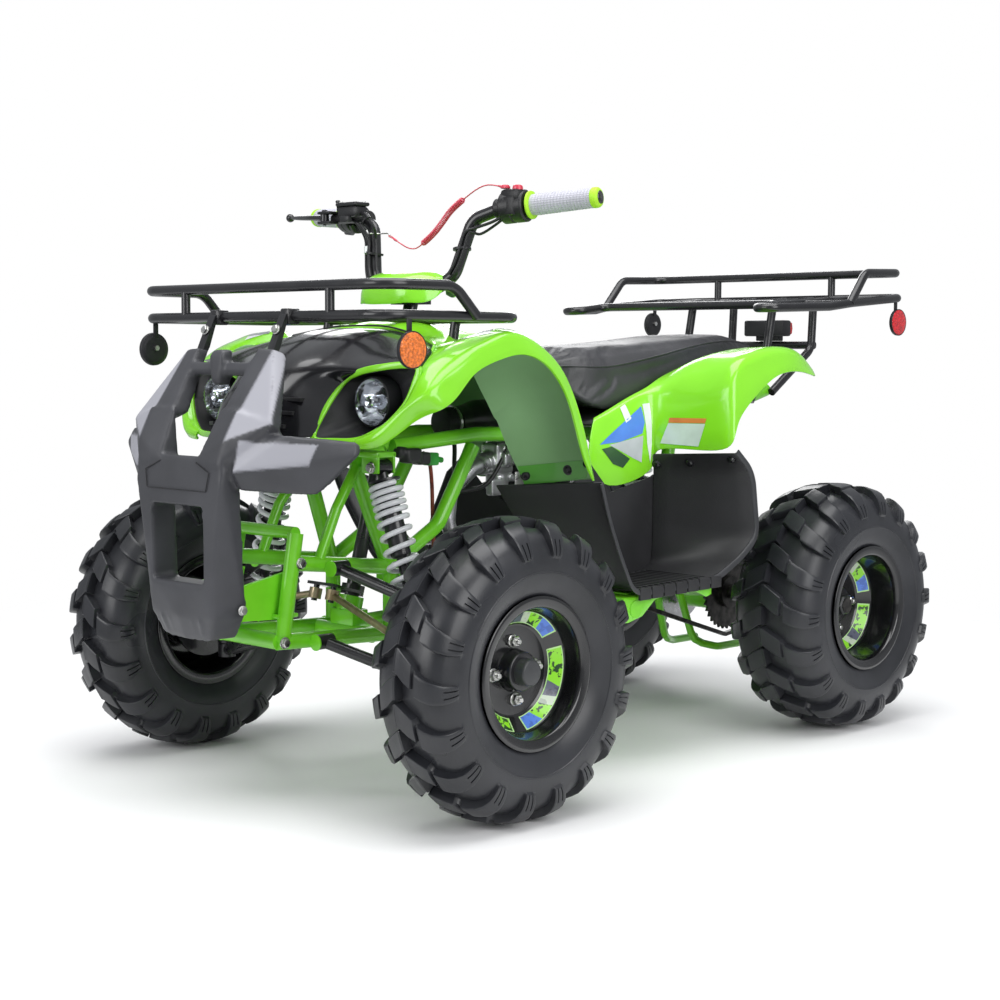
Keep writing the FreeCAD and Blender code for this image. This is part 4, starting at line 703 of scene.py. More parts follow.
GROOVE_START = 79.0
GROOVE_END = 101.5
RING_START = 129.0
RING_END = 131.2
# Columns across one lug, in half widths, with the two grooves between the doubled ones.
LUG_COLUMNS = np.array(
    [-1, -0.93, -0.7, -0.47, -0.43, -0.33, -0.29, 0.0, 0.29, 0.33, 0.43, 0.47, 0.7, 0.93, 1])
GROOVES = (np.abs(LUG_COLUMNS) > 0.3) & (np.abs(LUG_COLUMNS) < 0.45)
WALL_FOOT = 0.016
# Outer columns of a lug are a little lower; grooves are cut into the lugs, and a fine ring stands on
# the side.
LUG_EDGE = np.where(np.abs(LUG_COLUMNS) == 1, 0.94, 1.0)[None, :]
GROOVE_DEPTH = 3.2
RING_HEIGHT = 1.1
# The other half's lugs reach over the middle of the tread for the first rows.
OTHER_REACH, OTHER_HALF, OTHER_HEIGHT = 3.0, 0.215, 16.0


def tyre_half(half_width, bead_x, rows, side):
    """Half a tyre as a grid: around by column, across by row, lifted off the carcass by the lugs.

    A column keeps its place on or between the lugs, so the lug walls lie along grid lines. Each row turns
    it by the sweep. side 1 is the +X half, and side -1 the other, half a pitch later.
    """
    outline = np.array(CARCASS, float)
    share = outline[:, 0] / 80.0
    outline[:, 0] = np.where(outline[:, 1] > 150, share * half_width,
        half_width * 0.975 + (share - 0.975) * (half_width * 0.975 - bead_x) / (0.975 - 0.7875))
    line = smooth_line(outline, 600)
    length = run_length(line)
    s, height, lug_half, sweep = rows.T
    # The rows are laid out for a half width of 80 and stretch over the tread on a wider tyre.
    s = np.interp(s, [0, 60, 175.5], [0, 60 + half_width - 80, length[-1]])
    x = np.interp(s, length, line[:, 0])
    r = np.interp(s, length, line[:, 1])
    way = np.gradient(np.stack([x, r], -1), s, axis=0)
    way = unit(way)
    normal = np.stack([-way[:, 1], way[:, 0]], -1)
    normal[normal[:, 1] < -0.99] *= -1
    lug = LUG_COLUMNS[None, :] * lug_half[:, None] + 0.5
    other = LUG_COLUMNS[None, :] * OTHER_HALF + 1.0 + 0 * lug_half[:, None]
    wall_a = lug[:, -1:] + WALL_FOOT
    wall_b = other[:, :1] - WALL_FOOT
    wall_c = other[:, -1:] + WALL_FOOT
    wall_d = lug[:, :1] + 1 - WALL_FOOT
    share_of_pitch = np.concatenate([lug, wall_a, wall_b, other, wall_c, wall_d], 1)
    lift_lug = height[:, None] * LUG_EDGE
    grooved = (rows[:, 0] > GROOVE_START) & (rows[:, 0] < GROOVE_END)
    lift_lug = lift_lug - np.where(grooved[:, None] & GROOVES[None, :], GROOVE_DEPTH, 0.0)
    lift_other = np.where(rows[:, 0] < OTHER_REACH, OTHER_HEIGHT, 0.0)[:, None] * LUG_EDGE
    zero = np.zeros((len(rows), 1))
    lift = np.concatenate([np.maximum(lift_lug, 0), zero, zero, lift_other, zero, zero], 1)
    ring = np.where((rows[:, 0] > RING_START) & (rows[:, 0] < RING_END), RING_HEIGHT, 0.0)[:, None]
    lift = lift + ring
    pitches = np.arange(LUG_PITCHES)
    start = 0.0 if side > 0 else 0.5
    turn = (share_of_pitch[:, None, :] + pitches[None, :, None] + start - sweep[:, None, None]) * (
        2 * math.pi / LUG_PITCHES)
    turn = turn.reshape(len(rows), -1)
    lift = np.tile(lift, (1, LUG_PITCHES))
    xx = side * (x[:, None] + normal[:, :1] * lift)
    rr = r[:, None] + normal[:, 1:] * lift
    return np.stack([xx, -rr * np.cos(turn), rr * np.sin(turn)], -1)


def tyre(name, centre_x, centre_y, half_width, bead_x, body, node):
    """A whole tyre: two halves that meet along the middle of the tread."""
    plain = [(s, 0, 0.118, 0.55) for s in PLAIN_ROWS]
    rows = np.array(LUG_ROWS + plain)
    halves = []
    for side in (1, -1):
        half = tyre_half(half_width, bead_x, rows, side) + np.array([centre_x, centre_y, WHEEL_Z])
        halves.append((half, grid_faces(*half.shape[:2], wrap_columns=True)))
    mesh_object(name, halves, rubber, node, sharp=38, body=body)


WHEELS = [("front_left", 411.0, FRONT_AXLE_Y, 77.2, 62.0, "wheel_front_left"),
    ("front_right", -411.0, FRONT_AXLE_Y, 77.2, 62.0, "wheel_front_right"),
    ("rear_left", 322.0, REAR_AXLE_Y, 93.5, 82.0, "rear_wheels"),
    ("rear_right", -322.0, REAR_AXLE_Y, 93.5, 82.0, "rear_wheels")]
for place, centre_x, centre_y, half_width, bead_x, body in WHEELS:
    tyre("lugged_tyre_" + place, centre_x, centre_y, half_width, bead_x, body, "tyre_" + place)


# Rims: pressed steel in gloss black, with a deep barrel between rolled flanges, a sloped band, and a
# flat disc.


# Deep black paint under a clear coat.
rim_paint = finish("rim_black", (0.006, 0.006, 0.007), 0.22, coat=0.6)
mottle(rim_paint, 0.16, 0.26, 14.0, socket="Roughness")
grain(rim_paint, 90.0, 0.05, 0.0004)


def turned(profile, centre, sides, axis_sign=1.0):
    """A profile of (x, radius) carried round a line along X through the centre."""
    profile = np.asarray(profile, float)
    angle = around(sides)
    x = np.repeat(profile[:, :1] * axis_sign, sides, 1)
    y = profile[:, 1:] * np.cos(angle)
    z = profile[:, 1:] * np.sin(angle)
    return np.stack([x, y, z], -1) + np.asarray(centre, float), grid_faces(len(profile), sides,
        wrap_columns=True)


def rounded(profile, radius, steps=4):
    """The profile with each corner cut into a short arc of about the given radius."""
    profile = np.asarray(profile, float)
    line = [profile[:1]]
    for before, corner, after in zip(profile, profile[1:], profile[2:]):
        back, ahead = before - corner, after - corner
        reach = min(radius, 0.45 * np.linalg.norm(back), 0.45 * np.linalg.norm(ahead))
        start = corner + back / np.linalg.norm(back) * reach
        end = corner + ahead / np.linalg.norm(ahead) * reach
        t = np.linspace(0, 1, steps + 1)[:, None]
        line.append((1 - t) ** 2 * start + 2 * t * (1 - t) * corner + t ** 2 * end)
    line.append(profile[-1:])
    return np.concatenate(line)


def rim(name, centre_x, centre_y, half_width, disc_x, body, node, sign):
    """Barrel with rolled flanges, sloped band and disc, turned as one wall and given its thickness."""
    profile = [(-half_width, 119.5), (-half_width + 1, 121.5), (-half_width + 5, 121.0),
        (-half_width + 7, 104), (-half_width + 22, 101), (half_width - 26, 101), (half_width - 12, 103.5),
        (half_width - 6, 106.5), (half_width - 4, 118), (half_width + 1.5, 121.5), (half_width + 3, 117),
        (half_width + 1, 103), (half_width - 9, 99.6), (disc_x + 24, 96.5), (disc_x + 20, 95),
        (disc_x + 2, 73.5), (disc_x, 71), (disc_x, 30)]
    inner = [(disc_x - 3.5, 30), (disc_x - 3.5, 73), (disc_x + 14, 97.5), (-half_width + 20, 98.5),
        (-half_width + 3, 100.5), (-half_width, 119.5)]
    line = rounded(profile + inner, 4.0)
    wall = turned(line, (centre_x, centre_y, WHEEL_Z), 72, sign)
    mesh_object(name, [wall], rim_paint, node, sharp=50, body=body)


# A rim's half width and how far out its disc lies, in front and behind.
RIM_SIZES = {"front": (65.3, 14.0), "rear": (86.1, 6.0)}
for place, centre_x, centre_y, _, _, body in WHEELS:
    half_width, disc_x = RIM_SIZES[place.split("_")[0]]
    rim("pressed_rim_" + place, centre_x, centre_y, half_width, disc_x, body, "rim_" + place,
        np.sign(centre_x))


# Hubs and wheel stickers: black turned hubs with a grey dust cap in front and an axle nut behind, four
# zinc nuts on washers, and on each rim's sloped band three film stickers in flecked green, grey, white
# and blue.


def flecked(name, colour, fleck):
    """Printed film with small dark flecks."""
    material = finish(name, colour, 0.28, coat=0.4)
    mottle(material, fleck, colour, 95.0, low=0.44, high=0.47)
    return material


wheel_green = flecked("wheel_green", (0.32, 0.86, 0.02), (0.01, 0.06, 0.01))
wheel_blue = flecked("wheel_blue", (0.09, 0.24, 0.8), (0.06, 0.16, 0.6))
wheel_grey = flecked("wheel_grey", (0.1, 0.11, 0.17), (0.05, 0.05, 0.09))
wheel_white = flecked("wheel_white", (0.62, 0.72, 0.56), (0.42, 0.5, 0.4))
wheel_line = finish("wheel_line", (0.55, 0.9, 0.35), 0.3)
mottle(wheel_line, (0.5, 0.86, 0.3), (0.6, 0.92, 0.4), 40.0)
cap_grey = finish("dust_cap_grey", (0.045, 0.047, 0.05), 0.38)
mottle(cap_grey, (0.04, 0.042, 0.045), (0.055, 0.057, 0.06), 25.0)
# Along a sticker, in shares of its length: where each colour starts at the inner and at the outer edge.
BANDS = [(wheel_green, 0.0, 0.0, 0.36, 0.4), (wheel_grey, 0.36, 0.4, 0.55, 0.5),
    (wheel_white, 0.55, 0.5, 0.66, 0.6), (wheel_green, 0.66, 0.6, 0.84, 0.78),
    (wheel_blue, 0.84, 0.78, 1.0, 1.0)]
# The band's slope as (distance outside the disc, radius), the film's radii, its outline's width and its
# lift.
SLOPE_IN, SLOPE_OUT = np.array([2.0, 73.5]), np.array([20.0, 95.0])
FILM_IN, FILM_OUT, FILM_EDGE, FILM_LIFT = 76.0, 92.5, 1.2, 0.6
NUT_CIRCLE = 46


def on_slope(radius, angle, disc_x, centre, sign):
    """A point on a rim's sloped band, lifted off it by the film."""
    share = (radius - SLOPE_IN[1]) / (SLOPE_OUT[1] - SLOPE_IN[1])
    x = disc_x + SLOPE_IN[0] + share * (SLOPE_OUT[0] - SLOPE_IN[0]) + 0.767 * FILM_LIFT
    r = radius - 0.642 * FILM_LIFT
    return np.stack([sign * x + 0 * angle, r * np.cos(angle), r * np.sin(angle)], -1) + centre


def band_grid(start, end, r_low, r_high, shares, disc_x, centre, sign, steps=14):
    """A patch of the band: shares are its ends at the inner and outer edge, along the arc."""
    a0, b0, a1, b1 = shares
    t = np.linspace(0, 1, steps)[:, None]
    s = np.linspace(0, 1, 4)[None, :]
    share = (a0 + (b0 - a0) * s) * (1 - t) + (a1 + (b1 - a1) * s) * t
    angle = start + (end - start) * share
    radius = r_low + (r_high - r_low) * s + 0 * t
    return on_slope(radius, angle, disc_x, centre, sign), grid_faces(steps, 4)


for place, centre_x, centre_y, _, _, body in WHEELS:
    front = place.startswith("front")
    sign = np.sign(centre_x)
    disc_x = RIM_SIZES["front" if front else "rear"][1]
    centre = np.array([centre_x, centre_y, WHEEL_Z])
    patches = {}
    outline = []
    for k in range(3):
        # Seen from outside, each sticker runs clockwise from green to blue.
        first, last = (math.radians(120 * k + part + (0 if front else 24)) for part in (-48, 52))
        start, end = (math.pi / 2 - sign * first, math.pi / 2 - sign * last)
        for material, a0, b0, a1, b1 in BANDS:
            patch = band_grid(start, end, FILM_IN, FILM_OUT, (a0, b0, a1, b1), disc_x, centre, sign)
            patches.setdefault(material.name, (material, []))[1].append(patch)
        for low in (FILM_IN - FILM_EDGE, FILM_OUT):
            outline.append(
                band_grid(start, end, low, low + FILM_EDGE, (0, 0, 1, 1), disc_x, centre, sign, 40))
        for low, high in ((-0.018, 0.0), (1.0, 1.018)):
            outline.append(band_grid(start, end, FILM_IN - FILM_EDGE, FILM_OUT + FILM_EDGE,
                (low, low, high, high), disc_x, centre, sign, 3))
    for key, (material, parts) in patches.items():
        mesh_object("%s_%s" % (key, place), parts, material, body=body)
    mesh_object("wheel_line_" + place, outline, wheel_line, body=body)
    face = disc_x + 0.2
    parts = []
    for k in range(4):
        angle = math.radians(3 + 90 * k)
        spot = centre + (sign * face, NUT_CIRCLE * math.cos(angle), NUT_CIRCLE * math.sin(angle))
        for steps, radii, sides in (((0, 1.8, 2.4), (10.5, 10.5, 9.6), 28),
                ((2.0, 9.0, 10.5), (9.2, 9.2, 7.6), 6), ((9.5, 15.0, 16.2), (4.6, 4.6, 3.4), 16)):
            parts.append(sweep([spot + (sign * s, 0, 0) for s in steps], radii, sides))
    mesh_object("wheel_nuts_" + place, parts, plated, sharp=30, body=body)
    if front:
        barrel = turned(
            rounded([(face, 34), (face + 3, 33), (face + 20, 31), (face + 22, 29), (face + 22, 22)], 1.5),
            centre, 48, sign)
        cap = turned(rounded([(face + 20, 22), (face + 38, 21), (face + 41, 18.5), (face + 41.5, 0.1)],
            2.0), centre, 48, sign)
    else:
        barrel = turned(rounded([(face - 1, 38), (face + 6, 37), (face + 12, 33), (face + 12, 20)], 1.5),
            centre, 48, sign)
        cap = sweep([centre + (sign * (face + s), 0, 0) for s in (10, 25, 28)], [20.5, 20.5, 17.5], 6)
    mesh_object("hub_barrel_" + place, [barrel], black_enamel, sharp=40, body=body)
    mesh_object("hub_end_" + place, [cap], cap_grey, sharp=30, body=body)
for node in ("hub_front_left", "hub_front_right"):
    dress(node, black_enamel)


# Front body: one bright green moulding, injection moulded with a gloss skin outside and a dull inner face.
# It runs from the strips under the headlamps over both wheels, and as a deck back to the saddle's nose.


def natural(values, count):
    """A natural cubic spline through the values along their first axis, at count points for each gap."""
    values = np.asarray(values, float)
    n = len(values)
    flat = values.reshape(n, -1)
    system = np.zeros((n, n))
    right = np.zeros_like(flat)
    system[0, 0] = system[-1, -1] = 1.0
    for i in range(1, n - 1):
        system[i, i - 1:i + 2] = 1.0, 4.0, 1.0
        right[i] = 6.0 * (flat[i - 1] - 2.0 * flat[i] + flat[i + 1])
    bend = np.linalg.solve(system, right)
    t = np.linspace(0, n - 1, (n - 1) * count + 1)
    i = np.minimum(t.astype(int), n - 2)
    f = (t - i)[:, None]
    g = 1.0 - f
    line = g * flat[i] + f * flat[i + 1] + ((g ** 3 - g) * bend[i] + (f ** 3 - f) * bend[i + 1]) / 6.0
    return line.reshape((len(t),) + values.shape[1:])


def rounded_rows(rows, reaches, steps=5, spans=2):
    """Each row of corner points as a line with straight runs and soft corners, all with as many points."""
    rows = np.asarray(rows, float)
    line = [rows[:, 0]]
    last = rows[:, 0]
    for k in range(1, rows.shape[1] - 1):
        corner = rows[:, k]
        back, ahead = rows[:, k - 1] - corner, rows[:, k + 1] - corner
        back_length = np.linalg.norm(back, axis=1)[:, None] + 1e-9
        ahead_length = np.linalg.norm(ahead, axis=1)[:, None] + 1e-9
        reach = np.minimum(reaches[k - 1], 0.45 * np.minimum(back_length, ahead_length))
        start = corner + back / back_length * reach
        end = corner + ahead / ahead_length * reach
        for f in np.arange(1, spans) / spans:
            line.append(last + (start - last) * f)
        for f in np.linspace(0, 1, steps + 1):
            line.append((1 - f) ** 2 * start + 2 * f * (1 - f) * corner + f ** 2 * end)
        last = end
    for f in np.arange(1, spans + 1) / spans:
        line.append(last + (rows[:, -1] - last) * f)
    return np.stack(line, 1)


def moulding(name, grids, outside, inside, wall, nodes, sharp=60, keep=None, bevel=0.8, body="chassis"):
    """A moulded sheet of one wall: grids of points, mirrored, joined where they meet, thickened inwards.

    keep takes face centres in millimetres and says which faces stay, for openings.
    """
    parts = []
    for grid in grids:
        parts += pair((grid, grid_faces(*grid.shape[:2])))
    points, faces = gather(parts)
    if keep is not None:
        centres = np.array([points[face].mean(axis=0) for face in faces])
        faces = [face for face, stays in zip(faces, keep(centres)) if stays]
    piece = mesh_object(name, [(points, faces)], outside, nodes, sharp, body=body)
    top = max(piece.data.polygons, key=lambda polygon: polygon.center.z)
    if top.normal.z < 0:
        piece.data.flip_normals()
    piece.data.materials.append(inside)
    thick = piece.modifiers.new("wall", "SOLIDIFY")
    thick.thickness = wall * MM
    thick.offset = -1.0
    thick.material_offset = 1
    thick.material_offset_rim = 0
    if bevel:
        edge = piece.modifiers.new("edge", "BEVEL")
        edge.width = bevel * MM
        edge.segments = 2
        edge.limit_method = "ANGLE"
        edge.angle_limit = math.radians(65)
    return piece


# Bright green gloss moulding with a very soft waviness.
green_skin = finish("green_gloss", (0.25, 0.74, 0.022), 0.2, coat=0.55)
mottle(green_skin, (0.235, 0.71, 0.018), (0.265, 0.77, 0.026), 5.0)
mottle(green_skin, 0.15, 0.25, 9.0, socket="Roughness")
grain(green_skin, 38.0, 0.05, 0.0006)
# The same plastic's unpolished inner face, greyed by its grain.
green_back = finish("green_inside", (0.26, 0.48, 0.22), 0.55, specular=0.35)
mottle(green_back, (0.24, 0.45, 0.2), (0.28, 0.51, 0.24), 7.0)
grain(green_back, 520.0, 0.25, 0.0004, cells=True)

FENDER = [
    # inner or upper edge, crest inside, crest outside, and the lip's foot
    ((203, -588, 594), (206, -594, 590), (209, -595, 583), (210, -590, 577)),
    ((230, -577, 605), (240, -588, 604), (252, -590, 596), (258, -578, 586)),
    ((251, -566, 619), (268, -574, 628), (290, -570, 634), (300, -550, 622)),
    ((275, -552, 648), (292, -560, 656), (326, -556, 664), (335, -530, 640)),
    ((283, -541, 680), (300, -540, 690), (330, -528, 690), (339, -497, 661)),
    ((286, -522, 708), (304, -508, 716), (332, -496, 708), (340, -468, 690)),
    ((262, -480, 728), (296, -470, 738), (332, -462, 732), (341, -436, 708)),
    ((230, -440, 738), (285, -428, 752), (332, -424, 748), (341, -396, 720)),
    ((205, -390, 742), (280, -384, 764), (332, -378, 762), (341, -352, 726)),
    ((196, -345, 726), (280, -332, 768), (330, -332, 756), (341, -310, 716)),
    ((196, -305, 672), (272, -288, 738), (328, -284, 736), (341, -278, 694)),
    ((200, -275, 622), (272, -244, 700), (328, -240, 700), (341, -250, 660)),
    ((203, -250, 572), (272, -212, 640), (328, -206, 645), (341, -228, 612)),
    ((206, -228, 535), (274, -190, 575), (328, -180, 580), (341, -206, 556)),
    ((208, -210, 505), (276, -178, 512), (328, -166, 518), (341, -180, 516)),
]
DECK = [
    # the fender's inner edge, then towards the middle: dip, shoulder, crown and centre
    ((262, -480, 728), (240, -450, 742), (160, -420, 756), (90, -404, 767), (0, -400, 770)),
    ((230, -440, 738), (212, -424, 746), (150, -400, 760), (90, -392, 772), (0, -390, 776)),
    ((205, -390, 742), (190, -380, 748), (142, -372, 765), (90, -368, 777), (0, -366, 782)),
    ((196, -345, 726), (182, -340, 744), (138, -336, 767), (90, -334, 779), (0, -332, 784)),
    ((196, -305, 672), (178, -300, 710), (134, -298, 762), (90, -296, 779), (0, -294, 784)),
    ((200, -275, 622), (174, -262, 665), (130, -254, 750), (88, -252, 777), (0, -250, 783)),
    ((160, -205, 615), (148, -202, 660), (122, -200, 735), (84, -200, 770), (0, -200, 779)),
    ((128, -140, 624), (124, -140, 668), (112, -140, 722), (78, -140, 756), (0, -140, 767)),
    ((112, -60, 618), (111, -60, 652), (102, -60, 700), (74, -60, 730), (0, -60, 742)),
    ((106, 0, 610), (105, 0, 628), (98, 0, 660), (70, 0, 686), (0, 0, 696)),
]
FINE = 8
SHARED = 6
fender_grid = natural(FENDER, FINE)
deck_grid = natural(DECK, FINE)
shared = (len(FENDER) - 1 - 3 - SHARED) * FINE + 1
deck_grid[:shared, 0] = fender_grid[SHARED * FINE:SHARED * FINE + shared, 0]
fender_grid = rounded_rows(fender_grid, [26, 14], steps=6)
deck_grid = rounded_rows(deck_grid, [24, 34, 30], steps=5)


def clear_of_stem(centres):
    """True away from the steering stem's axis."""
    away = centres - STEM_FOOT
    away = away - (away @ STEM_WAY)[:, None] * STEM_WAY
    return np.linalg.norm(away, axis=1) > 26.0


front_body = moulding("front_body_moulding", [fender_grid, deck_grid], green_skin, green_back,
    3.6, "front_body", keep=clear_of_stem)

EYE = [(130, -610, 594), (133, -590, 635), (140, -556, 679), (180, -560, 693), (224, -557, 701),
    (262, -547, 706), (286, -536, 703), (284, -541, 680), (275, -552, 648), (251, -566, 619),
    (230, -576, 605), (205, -586, 594), (168, -598, 591)]


def closed_line(points, count):
    """A smooth closed line through the points."""
    points = np.asarray(points, float)
    several = np.concatenate([points[-3:], points, points[:4]])
    line = smooth_line(several, (len(several) - 1) * 24 + 1)[3 * 24:(3 + len(points)) * 24]
    length = np.concatenate([[0], np.cumsum(np.linalg.norm(np.diff(line, axis=0, append=line[:1]), axis=1))])
    even = np.linspace(0, length[-1], count, endpoint=False)
    line = np.concatenate([line, line[:1]])
    return np.stack([np.interp(even, length, line[:, k]) for k in range(3)], -1)


def ring_bar(path, width, height, sides=16):
    """A closed bar of oval section round a loop, wide across the loop and flat towards its axis."""
    path = np.asarray(path, float)
    middle = path.mean(axis=0)
    way = np.roll(path, -1, axis=0) - np.roll(path, 1, axis=0)
    way = unit(way)
    out = path - middle
    out -= (out * way).sum(axis=1)[:, None] * way
    out = unit(out)
    up = np.cross(way, out)
    angle = around(sides)
    # A squared oval: the corners are fuller than an ellipse's.
    across = np.sign(np.cos(angle)) * np.abs(np.cos(angle)) ** 0.7 * width / 2
    rise = np.sign(np.sin(angle)) * np.abs(np.sin(angle)) ** 0.7 * height / 2
    points = path[:, None] + across[None, :, None] * out[:, None] + rise[None, :, None] * up[:, None]
    return points.reshape(-1, 3), grid_faces(len(path), sides, True, True)


eye_line = closed_line(EYE, 110)
centre = eye_line.mean(axis=0)
outward = eye_line - centre
outward = unit(outward)
mesh_object("lamp_frames", pair(ring_bar(eye_line + outward * 4.0, 11.0, 7.0)), green_skin,
    "front_body", sharp=70)


# Hood: gloss black moulding between the headlamps, with a deep black bowl behind each lamp's frame,
# two slatted vents at each side and a seam across where it meets the green deck.


# Black gloss moulding.
black_skin = finish("black_gloss", (0.01, 0.01, 0.012), 0.2, coat=0.5)
mottle(black_skin, 0.15, 0.27, 8.0, socket="Roughness")
grain(black_skin, 45.0, 0.05, 0.0006)
# Black moulding with a fine leather-like grain.
black_grain = finish("black_grained", (0.016, 0.016, 0.018), 0.48, specular=0.4)
mottle(black_grain, (0.013, 0.013, 0.015), (0.021, 0.021, 0.024), 9.0)
grain(black_grain, 420.0, 0.35, 0.0004, cells=True)
HOOD = [
    ((0, -668, 596), (55, -664, 594), (100, -642, 592), (129, -613, 594)),
    ((0, -662, 640), (58, -656, 640), (104, -620, 636), (133, -590, 635)),
    ((0, -630, 682), (60, -622, 682), (106, -590, 676), (140, -556, 679)),
    ((0, -590, 716), (62, -582, 716), (115, -570, 704), (185, -560, 694)),
    ((0, -540, 742), (64, -532, 741), (130, -537, 721), (240, -551, 704)),
    ((0, -490, 759), (66, -484, 758), (138, -490, 741), (272, -530, 712)),
    ((0, -442, 768), (70, -438, 767), (142, -446, 754), (246, -468, 734)),
    ((0, -404, 770), (88, -406, 766), (124, -412, 761), (160, -421, 755)),
]
hood_grid = rounded_rows(natural(HOOD, FINE), [20, 26], steps=5)
moulding("hood_moulding", [hood_grid], black_skin, black_grain, 3.4, "front_cowl")
LAMP = np.array([201.0, -540.0, 650.0])
LAMP_RADIUS = 42
back_ring = np.array([(LAMP_RADIUS * math.sin(a), 16.0, LAMP_RADIUS * math.cos(a)) for a in around(110)])
near = [int(np.argmin(np.linalg.norm(back_ring[:, [0, 2]] / LAMP_RADIUS - unit(out[[0, 2]]), axis=1)))
        for out in eye_line - LAMP]
loops = [eye_line, eye_line + (0, 7, 0)]
target = LAMP + back_ring[near]
for share in (0.35, 0.7, 0.92):
    loops.append((eye_line + (0, 7, 0)) * (1 - share) + (target - (0, 3, 0)) * share)
loops += [target, LAMP + (target - LAMP) * (0.93, 1.6, 0.93)]
bowl = (np.concatenate(loops), grid_faces(len(loops), len(eye_line), wrap_columns=True))
bowl_piece = mesh_object("lamp_recesses", pair(bowl), black_grain, "front_cowl", sharp=50)
backing = bowl_piece.modifiers.new("wall", "SOLIDIFY")
backing.thickness = 0.0025
backing.offset = 1.0
vents = []
for step in range(3):
    rise = 21.0 * step
    slat = [(62 + 5 * step, -664 + 16 * step + 6, 612 + rise),
        (94 + 5 * step, -646 + 14 * step + 4, 610 + rise)]
    vents.append(sweep(slat, 1.0, 12, section=[(-7, -3), (7, -3), (7.5, 0), (7, 3), (-7, 3), (-7.5, 0)]))
mesh_object("hood_slats", pair(*vents), black_grain, "front_cowl", sharp=30)
seam = sweep(smooth_line([(0, -402.5, 774), (60, -403, 772.5), (110, -408, 766), (160, -421, 757)], 30),
    1.6, 8)
mesh_object("hood_seam", pair(seam), black_grain, "front_cowl")


# Headlamps: a chrome bowl with a bulb shield behind a clear crowned lens with moulded ribs.


# Clear moulded lens.
lens_clear = finish("clear_lens", (0.95, 0.97, 1.0), 0.04)
shader = lens_clear.node_tree.nodes["Principled BSDF"]
shader.inputs["Transmission Weight"].default_value = 1.0
shader.inputs["IOR"].default_value = 1.36
grain(lens_clear, 130.0, 0.35, 0.0008, cells=True)
# Bright reflector.
lamp_chrome = finish("lamp_chrome", (0.82, 0.84, 0.87), 0.12, metallic=1.0)
grain(lamp_chrome, 75.0, 0.5, 0.002, cells=True)


def turned_y(profile, centre, sides=64):
    """A profile of (y, radius) carried round a line along Y through the centre."""
    profile = np.asarray(profile, float)
    angle = around(sides)
    y = np.repeat(profile[:, :1], sides, 1)
    x = profile[:, 1:] * np.cos(angle)
    z = profile[:, 1:] * np.sin(angle)
    points = np.stack([x, y, z], -1) + np.asarray(centre, float)
    return points.reshape(-1, 3), grid_faces(len(profile), sides, wrap_columns=True)


shell = turned_y([(-6, 38), (-8, 39.5), (-10, 38.5), (-8, 36), (22, 20), (24, 0.1)], LAMP)
rim_part = turned_y([(-12, 40.5), (-14, 39), (-12, 37), (30, 37), (34, 30), (34, 41), (-12, 41)], LAMP)
lens = turned_y([(-10, 38), (-18, 35), (-24, 26), (-27, 14), (-28, 0.1)], LAMP)
shield = turned_y([(10, 0.1), (-14, 0.1), (-16, 7), (-14, 9), (8, 9), (10, 0.1)], LAMP, 32)
for name, part, material, slot_name in (("lamp_reflectors", shell, lamp_chrome, "zinc"),
        ("lamp_housings", rim_part, black_grain, "body_black"),
        ("lamp_lenses", lens, lens_clear, "lamp_lens"), ("lamp_shields", shield, lamp_chrome, "zinc")):
    mesh_object(name, pair(part), material, "headlamps", sharp=40)


# Footwells: one black grained moulding each side, with a curved front guard, a ribbed floor, an inner
# wall and a rear guard whose folded edge stands outside. Green folded brackets carry the floors; black
# bolts hold the guards.


def footwell_plastic(name, colour, roughness):
    """Black grained moulding with faint scuffs."""
    material = finish(name, colour, roughness, specular=0.45)
    mottle(material, tone(colour, 0.8), tone(colour, 1.3), 6.0)
    mottle(material, roughness - 0.06, roughness + 0.1, 11.0, socket="Roughness")
    grain(material, 700.0, 0.35, 0.0003, cells=True)
    return material


well_black = footwell_plastic("footwell_black", (0.02, 0.02, 0.022), 0.45)
well_edge = footwell_plastic("footwell_edge", (0.04, 0.041, 0.045), 0.36)
WELL_LOW, WELL_HIGH = 168.0, 330.0
# The sheet's profile from the front guard's top over the floor to the rear guard's top: inner and outer
# (y, z).
WELL_PROFILE = [((-240, 500), (-168, 512)), ((-196, 445), (-143, 450)), ((-132, 372), (-106, 384)),
    ((-64, 313), (-62, 315)), ((150, 320), (158, 320)), ((178, 334), (235, 356)), ((181, 391), (283, 391)),
    ((181, 509), (266, 509)), ((181, 541), (218, 548))]
WELL_FLARE = [16, 12, 6, 0, 0, 0, 0, 0, 0]
columns = []
for share in np.linspace(0, 1, 7):
    x = WELL_LOW + share * (WELL_HIGH - WELL_LOW)
    columns.append([(x + flare * share, a[0] + (b[0] - a[0]) * share, a[1] + (b[1] - a[1]) * share)
        for (a, b), flare in zip(WELL_PROFILE, WELL_FLARE)])
well_sheet = rounded_rows(np.array(columns, float), [40, 50, 26, 34, 22, 26, 30], steps=7, spans=3)
well = moulding("footwell_mouldings", [well_sheet], well_black, well_black, 3.6,
    "footwell_left footwell_right", sharp=45)

